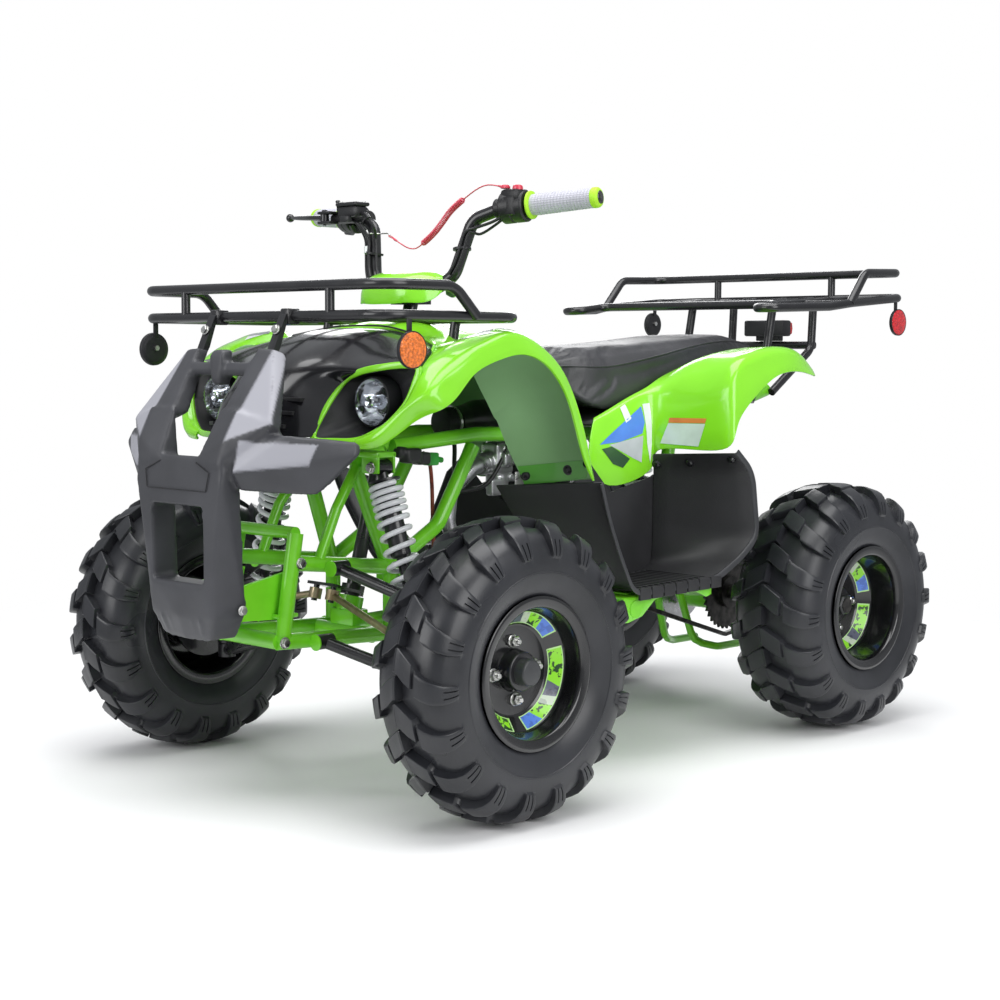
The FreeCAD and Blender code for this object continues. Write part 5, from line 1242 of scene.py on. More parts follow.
edge_line = well_sheet[-1]
way = np.gradient(edge_line, axis=0)
way = unit(way)
out = np.cross(way, [1.0, 0.0, 0.0])
out *= np.sign(out[len(out) // 2, 2]) * -1.0
edge_grid = np.stack(
    [edge_line + (-0.5, 0, 0), edge_line + out * 1.0 + (2.0, 0, 0), edge_line + out * 8.0 + (3.0, 0, 0)], 1)
edge_grid = rounded_rows(edge_grid, [1.0], steps=2)
moulding("footwell_edges", [edge_grid], well_edge, well_edge, 2.6,
    "footwell_left footwell_right", bevel=0.6)
web = [tuple(p[1:]) for p in well_sheet[0] if p[1] > -104 and p[2] < 500] + [(181, 502), (172, 498),
    (58, 474), (4, 528), (-36, 500), (-72, 430)]
half = [plate(web, 0, 165.5, 168.5)]
for y in np.arange(-52, 150, 33.0):
    half.append(box((330.5, y, 300 + (y + 60) * 0.024), (336.5, y + 30, 321 + (y + 60) * 0.024), 1.5))
for y in np.arange(-50, 150, 16.0):
    half.append(box((184, y, 314 + (y + 60) * 0.026), (322, y + 5, 321.5 + (y + 60) * 0.026), 1.0))
mesh_object("footwell_walls_and_ribs", pair(*half), well_black,
    "footwell_left footwell_right", sharp=30)

bracket_rows = [[(206, y, 262 if abs(y - 50) > 130 else 302 + (y + 60) * 0.02),
    (206, y, 306 + (y + 60) * 0.022), (322, y, 307 + (y + 60) * 0.022), (322, y, z)] for y, z in (
    (-80, 262), (-66, 262), (-30, 270), (4, 296), (30, 300), (120, 300), (150, 288), (164, 292))]
bracket_grid = rounded_rows(bracket_rows, [2, 5], steps=3)
moulding("footrest_brackets", [bracket_grid], frame_paint, frame_paint, 2.5, "frame")
recess = sweep([(320, -48, 284), (323.4, -48, 284)], [17, 15], 28)
mesh_object("footrest_recesses", pair(recess), frame_paint, "frame", sharp=30)


def black_screw(place, way):
    """A domed black screw on a washer."""
    way = Vector(way).normalized()
    place = Vector(place)
    profile = ((0, 9.0), (1.4, 9.0), (1.6, 6.6), (4.2, 5.8), (5.4, 3.6), (5.6, 2.0), (4.4, 1.8), (4.4, 0.2))
    return sweep([tuple(place + way * s) for s, _ in profile], [r for _, r in profile], 20)


def skin_tree(piece):
    """A search tree over a piece's mesh as it is seen, its modifiers included."""
    return BVHTree.FromObject(piece, bpy.context.evaluated_depsgraph_get())


def from_ahead(tree, x, z, start=-420.0):
    """The skin's place right behind a point, or else its nearest, and the skin's way forwards."""
    place, way, _, _ = tree.ray_cast(Vector((x, start, z)) * MM, Vector((0, 1, 0)))
    if place is None:
        place, way, _, _ = tree.find_nearest(Vector((x, start + 230, z)) * MM)
    return np.array(place) / MM, np.array(way) * (-1.0 if way.y > 0 else 1.0)


front_tree = skin_tree(front_body)
well_tree = skin_tree(well)
parts = []
for tree, x, z, start in ((front_tree, 216, 520, -420), (front_tree, 284, 531, -420),
        (front_tree, 320, 543, -420), (well_tree, 176, 522, 0), (well_tree, 237, 527, 0),
        (well_tree, 318, 535, 0)):
    place, way = from_ahead(tree, x, z, start)
    parts.append(black_screw(place - way * 0.3, way))
flange_green = finish("flange_green", (0.115, 0.42, 0.055), 0.34, coat=0.3)
mottle(flange_green, (0.1, 0.38, 0.05), (0.13, 0.46, 0.065), 7.0)
strip = []
for share in np.linspace(0, 1, 24):
    x = 210 + 110 * share
    for z in np.linspace(505 + 10 * share, 536 + 14 * share, 4):
        place, way = from_ahead(front_tree, x, z)
        strip.append(place + way * 0.9)
flange = mesh_object("fender_flange", pair((strip, grid_faces(24, 4))), flange_green,
    "front_body")
mesh_object("body_screws", pair(*parts), black_enamel, "footwell_left footwell_right", sharp=40)


# Bumper: one grained dark grey moulding whose upper facets carry a painted sheen, a paler grey standing in
# for the lights' reflection on them. A body with a square opening, two raked posts, a bar between them and
# two swept wings run together with soft fillets; black bolts hold its sides.


def hull(points):
    """The convex shell round some points, as points and faces."""
    work = bmesh.new()
    for point in points:
        work.verts.new(point)
    made = bmesh.ops.convex_hull(work, input=work.verts[:])
    bmesh.ops.delete(work,
        geom=[g for g in set(made["geom_interior"]) if isinstance(g, bmesh.types.BMVert)], context="VERTS")
    work.verts.index_update()
    shell = np.array([tuple(vertex.co) for vertex in work.verts])
    faces = [[vertex.index for vertex in face.verts] for face in work.faces]
    work.free()
    return shell, faces


def both(points):
    """The points and their mirror images."""
    return gather(pair((points, [])))[0]


def run_together(name, parts, cell, material, nodes, soften=4):
    """Overlapping closed shells melted into one skin on a grid of small cells, with softened edges."""
    points, faces = gather(parts)
    mesh = bpy.data.meshes.new(name + "_shells")
    mesh.from_pydata((points * MM).tolist(), [], faces)
    work = bmesh.new()
    work.from_mesh(mesh)
    bmesh.ops.recalc_face_normals(work, faces=work.faces)
    work.to_mesh(mesh)
    work.free()
    holder = bpy.data.objects.new(name + "_shells", mesh)
    bpy.context.scene.collection.objects.link(holder)
    melt = holder.modifiers.new("melt", "REMESH")
    melt.mode = "VOXEL"
    melt.voxel_size = cell * MM
    melt.use_smooth_shade = True
    soft = holder.modifiers.new("soften", "SMOOTH")
    soft.factor = 0.5
    soft.iterations = soften
    result = bpy.data.meshes.new_from_object(holder.evaluated_get(bpy.context.evaluated_depsgraph_get()))
    bpy.data.objects.remove(holder)
    bpy.data.meshes.remove(mesh)
    result.name = name
    result.materials.clear()
    result.materials.append(material)
    result.polygons.foreach_set("use_smooth", np.ones(len(result.polygons), bool))
    piece = bpy.data.objects.new(name, result)
    enlist(piece, "chassis", nodes)
    return piece


def mark_sheen_facets(piece, facets, soft=2.5, reach=16.0, lean=0.25):
    """The attribute "pale", the mask of a painted sheen: how far each point lies inside one of the flat
    facets, from 0 outside to 1.
    """
    mesh = piece.data
    place, way = np.empty(3 * len(mesh.vertices)), np.empty(3 * len(mesh.vertices))
    mesh.vertices.foreach_get("co", place)
    mesh.vertices.foreach_get("normal", way)
    place, way = place.reshape(-1, 3) / MM, way.reshape(-1, 3)
    pale = np.zeros(len(place))
    for facet in facets:
        for side in (1, -1):
            corners = np.asarray(facet, float) * (side, 1, 1)
            face_way = np.cross(corners[1] - corners[0], corners[2] - corners[0])
            face_way *= -np.sign(face_way[1]) / np.linalg.norm(face_way)
            middle = corners.mean(axis=0)
            inside = np.full(len(place), 1e3)
            for corner, after in zip(corners, np.roll(corners, -1, axis=0)):
                inward = np.cross(face_way, after - corner)
                inward *= np.sign(inward @ (middle - corner)) / np.linalg.norm(inward)
                inside = np.minimum(inside, (place - corner) @ inward)
            near = (np.abs((place - middle) @ face_way) < reach) & (way @ face_way > lean)
            pale = np.maximum(pale, np.where(near, np.clip(0.5 + inside / soft, 0, 1), 0))
    mesh.attributes.new("pale", "FLOAT", "POINT").data.foreach_set("value", pale)


def bumper_plastic(name, colour, roughness):
    """Grained moulding, a little chalky."""
    material = finish(name, colour, roughness, specular=0.5)
    mottle(material, tone(colour, 0.88), tone(colour, 1.14), 12.0)
    mottle(material, roughness - 0.05, roughness + 0.07, 7.0, socket="Roughness")
    grain(material, 900.0, 0.3, 0.00025, cells=True)
    return material


bumper_grey = bumper_plastic("bumper_grey", (0.05, 0.051, 0.058), 0.46)


def paint_sheen_on_facets(material, colour):
    """Carries a paler grey, a painted sheen of the lights, over the points whose attribute "pale" is 1."""
    tree, links = material.node_tree, material.node_tree.links
    shader = tree.nodes["Principled BSDF"]
    mask = add_node(tree, "Attribute")
    mask.attribute_name = "pale"
    mix = add_node(tree, "Mix")
    mix.data_type = "RGBA"
    base = shader.inputs["Base Color"].links[0].from_socket
    mix_in = [socket for socket in mix.inputs if socket.name == "A" and socket.type == "RGBA"][0]
    mix_pale = [socket for socket in mix.inputs if socket.name == "B" and socket.type == "RGBA"][0]
    mix_pale.default_value = (*colour, 1.0)
    result = [socket for socket in mix.outputs if socket.type == "RGBA"][0]
    links.new(base, mix_in)
    links.new(mask.outputs["Fac"], mix.inputs[0])
    links.new(result, shader.inputs["Base Color"])


# Painted sheen: this paler grey stands in for the lights' reflection on the bumper's facets.
paint_sheen_on_facets(bumper_grey, (0.36, 0.36, 0.4))

# The wing and post facets take the painted sheen; the wing and tip facets also shape the wing's hull.
WING_FACET = [(129, -756, 587), (239, -690, 582), (234, -709, 557), (127, -773, 545)]
TIP_FACET = [(239, -690, 582), (292, -664, 594), (300, -672, 573), (234, -709, 557)]
POST_FACETS = [[(112, -679, 733), (124, -660, 724), (180, -738, 620)],
    [(112, -679, 733), (180, -738, 620), (112, -777, 592)]]
# One side's beam beside the opening, wing and post; the last two hulls cross the middle.
beam = hull([(67, -785, 360), (68, -787, 492), (84, -780, 404), (83, -779, 345), (112, -783, 528),
    (114, -779, 545), (100, -737, 441), (100, -737, 373), (98, -724, 330), (108, -742, 530),
    (62, -738, 366), (62, -742, 488)])
wing = hull(
    WING_FACET + TIP_FACET + [(228, -697, 509), (129, -756, 514), (197, -728, 602), (100, -745, 520),
    (100, -745, 590), (236, -684, 514), (292, -656, 590), (292, -656, 574), (190, -700, 598)])
post_low = hull([(49, -782, 560), (104, -784, 552), (112, -777, 592), (180, -738, 620), (178, -712, 604),
    (60, -742, 640), (50, -744, 560), (104, -744, 552), (64, -752, 625), (110, -752, 640)])
post_high = hull([(64, -750, 625), (112, -777, 592), (180, -738, 620), (176, -714, 612), (62, -714, 630),
    (78, -684, 734), (112, -679, 733), (124, -660, 724), (80, -660, 731)])
neck = hull(both([(68, -787, 487), (112, -783, 528), (112, -781, 556), (108, -779, 566), (66, -746, 487),
    (112, -744, 530), (106, -744, 562)]))
base = hull(both([(67, -785, 366), (84, -779, 345), (82, -777, 314), (62, -766, 276), (0, -786, 350),
    (0, -783, 310), (0, -770, 273), (62, -738, 366), (98, -722, 340), (90, -720, 312), (62, -716, 276)]))
bar = hull(both([(90, -700, 690), (90, -698, 712), (90, -682, 690), (90, -680, 710), (90, -704, 700)]))
lug = hull(both(
    [(11, -710, 682), (17, -707, 722), (14, -702, 731), (12, -686, 676), (15, -682, 732), (9, -704, 674)]))
ribs = [sweep([(x, -775, 322), (x, -775.5, 306), (0.93 * x, -768, 288), (0.86 * x, -758, 272)],
    [2.0, 5.0, 5.5, 4.0], 12) for x in (-50, -30, -10, 10, 30, 50)]
shells = [neck, base, bar, lug] + ribs
for part in (beam, wing, post_low, post_high):
    shells += pair(part)
bumper = run_together("bumper_moulding", shells, 3.8, bumper_grey, "front_bumper", soften=5)
# Marks the facets that take the painted sheen.
mark_sheen_facets(bumper, [WING_FACET] + POST_FACETS)
seam_line = [(-47, -781.5, 556), (-84, -784.5, 541), (-78, -786.5, 512), (78, -786.5, 512),
    (84, -784.5, 541), (47, -781.5, 556)]
mesh_object("bumper_panel_seam", [sweep(bend_path(seam_line, 3), 0.9, 8)], black_grain,
    "front_bumper")
parts = pair(bolt((98.5, -732, 324), (1, -0.1, 0), across=11, head=5, washer=8),
    bolt((96, -744, 404), (1, -0.2, 0), across=10, head=4, washer=7))
mesh_object("bumper_bolts", parts, plated, "front_bumper", sharp=30)


# Engine: a sand-cast, lightly blasted alloy crankcase with smoother covers, a black finned cylinder
# that leans forward, and under the deck the bent manifold, carburettor, black rubber boot and air box.


def cast_alloy(name, colour, roughness):
    """Blasted cast aluminium, its tone and roughness wandering at random."""
    material = finish(name, colour, roughness, metallic=0.85)
    mottle(material, tone(colour, 0.62), tone(colour, 1.2), 16.0)
    mottle(material, roughness - 0.08, roughness + 0.12, 24.0, socket="Roughness")
    grain(material, 460.0, 0.5, 0.0004)
    return material


alloy = cast_alloy("engine_alloy", (0.36, 0.36, 0.38), 0.42)
smooth_alloy = cast_alloy("cover_alloy", (0.55, 0.55, 0.57), 0.3)
engine_black = cast_alloy("engine_black", (0.02, 0.02, 0.022), 0.45)
engine_black.node_tree.nodes["Principled BSDF"].inputs["Metallic"].default_value = 0.0
# Soft black rubber.
rubber_black = finish("boot_rubber", (0.012, 0.012, 0.013), 0.34, specular=0.5)
mottle(rubber_black, 0.28, 0.42, 18.0, socket="Roughness")
grain(rubber_black, 300.0, 0.15, 0.0003)


def rod_part(start, end, radius, sides=40):
    """A round bar with slightly eased ends, as a closed shell."""
    start, end = np.asarray(start, float), np.asarray(end, float)
    way = (end - start) / np.linalg.norm(end - start)
    ease = min(2.0, 0.2 * radius)
    return sweep([start, start + way * ease, end - way * ease, end],
        [radius - ease, radius, radius, radius - ease], sides)


run_together("crankcase", [box((-90, -60, 262), (90, 58, 400), 14), box((-90, 40, 262), (50, 150, 400), 14),
    rod_part((-105, 0, 330), (105, 0, 330), 58), rod_part((-100, 100, 320), (48, 100, 320), 48),
    rod_part((-60, -20, 396), (70, -20, 396), 20), rod_part((-70, 90, 392), (40, 90, 392), 18),
    box((-40, 140, 259), (40, 168, 290), 3), box((-50, -120, 296), (50, -50, 372), 8)], 4.2, alloy,
    "engine", soften=3)
cover_parts = [rod_part((101, 0, 330), (112, 0, 330), 50), rod_part((108, 0, 330), (118, 0, 330), 30, 36),
    rod_part((86, -40, 372), (100, -40, 372), 18), rod_part((86, 36, 376), (98, 36, 376), 13),
    rod_part((-102, 0, 330), (-113, 0, 330), 50)]
for k in range(9):
    angle = 2 * math.pi * k / 9
    spot = np.array([100, 50.5 * math.cos(angle), 330 + 50.5 * math.sin(angle)])
    cover_parts += [rod_part(spot, spot + (10, 0, 0), 6.5, 18),
        rod_part(spot + (9, 0, 0), spot + (14, 0, 0), 3.6, 6)]
mesh_object("engine_covers", cover_parts, smooth_alloy, "engine", sharp=40)
fins = [box((-62, -250 + 8 * i, 286), (62, -247.4 + 8 * i, 386), 1.2) for i in range(17)]
fins += [box((-46, -252, 300), (46, -110, 372), 4), box((-52, -290, 296), (52, -249, 376), 8),
    rod_part((-40, -270, 376), (40, -270, 376), 16), box((-12, -212, 259.2), (12, -188, 300), 2),
    rod_part((40, -270, 336), (56, -270, 336), 22)]
mesh_object("finned_cylinder", fins, engine_black, "engine", sharp=30)
parts = [bolt((52, y, z), (1, 0, 0), across=10, head=5, washer=6.5)
    for y, z in ((-276, 366), (-262, 306), (-276, 306), (-262, 366))]
mesh_object("engine_bolts", pair(*parts), plated, "engine", sharp=30)
mesh_object("drive_sprocket",
    [rod_part((40, 100, 320), (66, 100, 320), 10), rod_part((59.5, 100, 320), (64.5, 100, 320), 24.4, 28)],
    drive_steel, "engine", sharp=30)

manifold = sweep(
    bend_path([(20, -180, 376), (20, -214, 420), (20, -206, 480), (20, -150, 520), (20, -112, 530)], 40),
    13.5, 28)
flange = [rod_part((20, -186, 384), (20, -190, 394), 22, 24),
    rod_part((20, -134, 525), (20, -122, 529), 20, 24)]
mesh_object("intake_manifold", [manifold] + flange, smooth_alloy, "intake", sharp=40)
run_together("carburettor",
    [rod_part((20, -124, 528), (20, -48, 540), 19, 28), box((0, -112, 508), (42, -66, 566), 5),
    rod_part((20, -88, 566), (20, -86, 590), 15, 24), rod_part((20, -88, 478), (20, -88, 512), 21, 28),
    box((36, -100, 524), (52, -74, 546), 3), rod_part((42, -80, 552), (60, -80, 552), 10, 20),
    rod_part((4, -64, 500), (50, -64, 500), 7, 16), box((30, -128, 470), (46, -96, 500), 3)], 2.4,
    smooth_alloy, "intake", soften=2)
linkage = [rod_part((58, -80, 552), (63, -80, 552), 13, 28), rod_part((62, -80, 552), (66, -80, 552), 5, 6),
    box((59, -80, 549), (62, -48, 556), 1), box((46, -70, 470), (50, -36, 512), 2)]
mesh_object("carburettor_linkage", linkage, plated, "intake", sharp=30)
boot_line = smooth_line([(20, -52, 539), (18, -20, 548), (8, 10, 552), (4, 30, 552)], 24)
boot = sweep(boot_line, 22 + 2.5 * np.cos(np.linspace(0, 24, 24)), 32)
air_parts = [boot, rod_part((0, -40, 492), (0, 90, 500), 44), box((-70, 20, 500), (60, 110, 566), 12)]
run_together("air_box", air_parts, 5.0, rubber_black, "intake", soften=3)
breather_line = smooth_line(
    [(18, -196, 606), (16, -150, 610), (14, -90, 612), (6, -30, 606), (0, 30, 590), (0, 60, 560)], 40)
mesh_object("breather_boot",
    [sweep(breather_line, np.interp(np.arange(40), [0, 5, 9, 28, 39], [27, 27, 33, 30, 20]), 32)],
    rubber_black, "intake", sharp=60)
cup_profile = np.array([(18, -232, 604), (18, -229, 604), (18, -205, 605.5), (18, -204, 605.5)], float)
mesh_object("breather_cup", [sweep(cup_profile, [18, 25, 27, 22], 36)], black_grain,
    "intake", sharp=40)
mesh_object("breather_ring", [sweep([(18, -206, 605.4), (18, -201, 605.8)], 29.5, 40)], plated,
    "intake", sharp=30)

# Hoses and leads under the deck: each is clipped to the frame or pressed on a stub at both ends, close
# to what it serves, so they are fixed trim.
hose = sweep(smooth_line([(40, -70, 585), (42, -84, 560), (44, -110, 520), (44, -140, 492), (42, -176, 484),
    (38, -206, 486), (36, -212, 520), (30, -206, 560), (24, -206, 584)], 90), 4.0, 16)
lead_red = finish("lead_red", (0.16, 0.025, 0.012), 0.45)
mottle(lead_red, (0.12, 0.018, 0.01), (0.26, 0.05, 0.03), 60.0)
lead = sweep(smooth_line([(66, -316, 556), (60, -296, 540), (54, -284, 500), (52, -280, 440),
    (50, -276, 396), (46, -272, 380)], 70), 3.4, 14)
mesh_object("plug_lead", [lead], lead_red, "intake")
mesh_object("carburettor_hose", [hose], rubber_black, "intake")
plug_green = finish("plug_green", (0.02, 0.3, 0.03), 0.4)
mottle(plug_green, (0.015, 0.24, 0.02), (0.03, 0.36, 0.04), 40.0)
run_together("coil_and_connector", [box((62, -372, 540), (88, -336, 566), 5),
    box((60, -342, 536), (84, -312, 558), 4), rod_part((74, -386, 560), (74, -364, 558), 10, 20)], 2.4,
    engine_black, "intake", soften=2)
mesh_object("connector_plug",
    [box((62, -316, 534), (82, -292, 556), 3), sweep([(72, -292, 545), (70, -276, 542)], 5, 12)],
    plug_green, "intake", sharp=30)


def burnt_steel():
    """Exhaust steel, straw and grey from heat, with a dull oxide."""
    material = finish("exhaust_steel", (0.16, 0.14, 0.12), 0.42, metallic=0.9)
    mottle(material, (0.07, 0.065, 0.06), (0.24, 0.2, 0.16), 12.0)
    mottle(material, 0.34, 0.56, 26.0, socket="Roughness")
    return material


dress("exhaust", burnt_steel())


# Rear body: one bright green moulding. Its side panels hang from the saddle's edge down to the
# footwells, and bulge out over the rear tyres as fenders whose fronts are bolted to the footwells' rear
# guards.

REAR_BODY = [
    # deck under the saddle, the edge beside it, shoulder, outer edge, and foot or lip
    ((129, 50, 597), (134, 48, 612), (143, 38, 606), (158, 14, 574), (165, 2, 538)),
    ((129, 95, 612), (134, 92, 629), (146, 84, 622), (164, 68, 562), (169, 56, 487)),
    ((129, 150, 634), (134, 148, 651), (148, 142, 645), (165, 148, 590), (169, 170, 511)),
    ((129, 192, 648), (136, 190, 666), (158, 188, 660), (171, 184, 606), (172, 184, 546)),
    ((129, 224, 657), (138, 220, 680), (186, 206, 678), (232, 196, 636), (244, 187, 552)),
    ((129, 256, 664), (140, 250, 691), (206, 230, 708), (306, 204, 664), (330, 193, 558)),
    ((129, 290, 671), (142, 284, 700), (212, 262, 724), (324, 228, 712), (341, 212, 600)),
    ((129, 325, 680), (144, 320, 708), (214, 304, 733), (327, 276, 732), (342, 246, 638)),
    ((128, 370, 690), (146, 366, 715), (214, 354, 739), (327, 330, 742), (342, 292, 670)),
    ((126, 410, 700), (148, 408, 721), (214, 402, 741), (326, 388, 743), (342, 342, 692)),
    ((120, 450, 708), (150, 448, 724), (214, 446, 737), (322, 436, 732), (339, 404, 696)),
    ((110, 490, 712), (152, 488, 722), (210, 492, 722), (308, 486, 703), (328, 470, 688)),
]
rear_grid = rounded_rows(natural(REAR_BODY, 6), [7, 30, 24], steps=6)
tail_deck = natural([((0, 480, 711), (60, 480, 711), (112, 484, 711)),
    ((0, 560, 714), (50, 560, 714), (95, 560, 713)), ((0, 620, 698), (45, 618, 698), (80, 612, 697))], 6)
rear_moulding = moulding("rear_body_moulding", [rear_grid], green_skin, green_back, 3.4,
    "rear_body")
moulding("rear_tail_cover", [tail_deck], black_skin, black_grain, 3.0, "rear_body")
seat_tray = natural([((0, 60, 598), (128, 60, 598)), ((0, 150, 631), (128, 150, 631)),
    ((0, 250, 660), (128, 250, 660)), ((0, 370, 689), (127, 370, 689)), ((0, 490, 711), (110, 490, 711))],
    3)
moulding("saddle_tray", [seat_tray], black_grain, black_grain, 3.0, "rear_body", bevel=0)


# Stickers: thin printed film on the side panels, the fenders' crests and the deck. They are plain
# wedges and chevrons in blue, white, grey and dark green, cut to follow the skin.


def film(name, colour, roughness=0.25):
    """Printed film with a gloss face."""
    material = finish(name, colour, roughness, coat=0.4)
    mottle(material, tone(colour, 0.93), tone(colour, 1.06), 30.0)
    return material


film_blue = film("film_blue", (0.075, 0.22, 0.74))
film_white = film("film_white", (0.8, 0.82, 0.84))
film_grey = film("film_grey", (0.3, 0.32, 0.34))
film_dark = film("film_dark", (0.03, 0.085, 0.035))
film_silver = film("film_silver", (0.5, 0.53, 0.56))
film_label = film("film_label", (0.6, 0.68, 0.66))
film_orange = film("film_orange", (0.72, 0.2, 0.06))


def from_side(outline, target, lift=0.7, steps=10, way=(-1.0, 0.0, 0.0), start=500.0):
    """Points and faces of a sticker, its outline in (y, z) thrown along way onto the target.

    The outline is a fan of triangles from its middle, each cut into small ones that follow the skin.
    """
    outline = np.asarray(outline, float)
    middle = outline.mean(axis=0)
    points, faces = [], []
    for corner, after in zip(outline, np.roll(outline, -1, axis=0)):
        first = len(points)
        for i in range(steps + 1):
            for j in range(i + 1):
                share = i / steps
                along = j / i if i else 0.0
                flat = middle + (corner - middle) * share * (1 - along) + (after - middle) * share * along
                points.append(flat)
        for i in range(steps):
            for j in range(i + 1):
                a = first + i * (i + 1) // 2 + j
                b = a + i + 1
                faces.append([a, b, b + 1])
                if j < i:
                    faces.append([a, b + 1, a + 1])
    placed = []
    way = Vector(way)
    for y, z in points:
        origin = Vector((start, y, z)) if abs(way.x) > 0.5 else Vector((y, z, start))
        if abs(way.y) > 0.5:
            origin = Vector((y, -10.0, z))
        place, normal, _, _ = target.ray_cast(origin * MM, way)
        if place is None:
            place, normal = origin * MM + way * MM * 100, -way
        if normal.dot(way) > 0:
            normal = -normal
        placed.append(tuple((place + normal * lift * MM) / MM))
    return np.array(placed), faces


rear_tree = skin_tree(rear_moulding)
stickers = [
    ("side_blue", film_blue, rear_tree, (-1, 0, 0),
     [(36, 562), (158, 630), (160, 600), (150, 580), (90, 566)]),
    ("side_white", film_white, rear_tree, (-1, 0, 0),
     [(162, 634), (178, 636), (178, 560), (170, 524), (163, 560)]),
    ("side_white_bar", film_white, rear_tree, (-1, 0, 0), [(106, 628), (120, 634), (128, 608), (112, 600)]),
    ("side_grey", film_silver, rear_tree, (-1, 0, 0), [(60, 561), (152, 576), (144, 526), (118, 536)]),
    ("side_dark", film_dark, rear_tree, (-1, 0, 0), [(40, 554), (66, 558), (112, 534), (92, 518), (66, 526)]),
    ("label", film_label, rear_tree, (0, 1, 0), [(196, 599), (279, 600), (268, 558), (181, 561)]),
    ("label_head", film_orange, rear_tree, (0, 1, 0), [(197, 609), (281, 610), (279, 601), (196, 600)]),
    ("crest_blue", film_blue, rear_tree, (0, 0, -1), [(150, 330), (176, 346), (196, 418), (158, 408)]),
    ("deck_blue", film_blue, front_tree, (0, 0, -1), [(270, -362), (300, -356), (312, -318), (284, -330)]),
    ("deck_white", film_white, front_tree, (0, 0, -1), [(280, -434), (297, -413), (275, -393)]),
    ("deck_grey", film_grey, front_tree, (0, 0, -1),
     [(298, -412), (314, -392), (298, -388), (290, -366), (272, -384), (276, -392)]),
    ("crest_white", film_white, front_tree, (0, 0, -1), [(60, -300), (110, -250), (118, -300), (96, -330)]),
]
for name, material, tree, way, outline in stickers:
    part = from_side(outline, tree, way=way, start=500.0 if way[0] else 1200.0)
    mesh_object("sticker_" + name, pair(part), material,
        "rear_body" if tree is rear_tree else "front_body")


# Saddle: black grained vinyl pulled over one foam block, with a welted seam along each shoulder and a
# low nose. The cover is blown up a little by cloth simulation and settles round the foam.


# Black upholstery vinyl with a pebbled grain, faint creases and a soft sheen.
seat_cover = finish("seat_vinyl", (0.03, 0.03, 0.034), 0.4, specular=0.55)
mottle(seat_cover, (0.024, 0.024, 0.028), (0.04, 0.04, 0.046), 8.0)
mottle(seat_cover, 0.34, 0.48, 10.0, socket="Roughness")
grain(seat_cover, 30.0, 0.2, 0.0012)
grain(seat_cover, 620.0, 0.45, 0.0004, cells=True)
SEAT = [
    # y, half width, foot, shoulder seam and top, before the cover is blown up
    (10, 52, 690, 700, 716), (26, 84, 660, 704, 727), (60, 110, 634, 704, 735), (110, 122, 624, 704, 739),
    (170, 127, 640, 711, 742), (260, 127, 664, 725, 747), (360, 124, 688, 742, 755),
    (440, 119, 710, 752, 761),
    (520, 104, 716, 754, 762), (580, 92, 712, 746, 755), (618, 80, 702, 728, 736),
]
seat_rows = natural(SEAT, 5)
# The cover swells by at most this, in millimetres, over this many frames.
SWELL, CLOTH_FRAMES = 6.0, 20


def saddle_section(y, half, foot, seam, top):
    """One side of a section: under face, foot, side up to the shoulder seam, and the crowned top."""
    return [(0, y, foot + 4), (0.8 * half, y, foot + 2), (0.97 * half, y, foot), (half, y, foot + 8),
        (0.995 * half, y, 0.5 * (foot + seam)), (0.975 * half, y, seam),
        (0.84 * half, y, seam + 0.55 * (top - seam)), (0.55 * half, y, seam + 0.9 * (top - seam)),
        (0, y, top)]


def saddle():
    """The closed cover, remeshed, blown up against a cap, and subdivided once."""
    rows = np.array([saddle_section(*row) for row in seat_rows])
    right = rows[:, 1:-1][:, ::-1] * (-1, 1, 1)
    loop = np.concatenate([rows, right], 1)
    ends = [list(range(loop.shape[1])),
        list(range((loop.shape[0] - 1) * loop.shape[1], loop.shape[0] * loop.shape[1]))]
    faces = [list(f) for f in grid_faces(loop.shape[0], loop.shape[1], wrap_columns=True)] + ends
    piece = run_together("saddle_cover", [(loop.reshape(-1, 3), faces)], 5.0, seat_cover,
        "seat", soften=3)
    mesh = piece.data
    count = len(mesh.vertices)
    start = np.empty(3 * count)
    mesh.vertices.foreach_get("co", start)
    # The under face is pinned, and the rest swells by at most the cap.
    low = start.reshape(-1, 3)
    pins = piece.vertex_groups.new(name="pins")
    foot = np.interp(low[:, 1] / MM, seat_rows[:, 0], seat_rows[:, 2])
    pins.add([int(i) for i in np.nonzero(low[:, 2] / MM < foot + 7)[0]], 1.0, "REPLACE")
    cloth = piece.modifiers.new("cloth", "CLOTH")
    cloth.settings.use_pressure = True
    cloth.settings.uniform_pressure_force = 4.0
    cloth.settings.vertex_group_mass = "pins"
    cloth.settings.effector_weights.gravity = 0.0
    cloth.point_cache.frame_end = CLOTH_FRAMES
    scene = bpy.context.scene
    for step in range(1, CLOTH_FRAMES + 1):
        scene.frame_set(step)
    blown = np.empty(3 * count)
    result = piece.evaluated_get(bpy.context.evaluated_depsgraph_get()).to_mesh()
    result.vertices.foreach_get("co", blown)
    piece.modifiers.remove(cloth)
    scene.frame_set(1)
    move = (blown - start).reshape(-1, 3)
    far = np.linalg.norm(move, axis=1, keepdims=True)
    move *= np.minimum(1.0, SWELL * MM / np.maximum(far, 1e-9))
    mesh.vertices.foreach_set("co", (start.reshape(-1, 3) + move).ravel())
    mesh.update()
    finer = piece.modifiers.new("finer", "SUBSURF")
    finer.levels = 1
    finer.render_levels = 1
    return piece


seat_piece = saddle()
seat_tree = skin_tree(seat_piece)


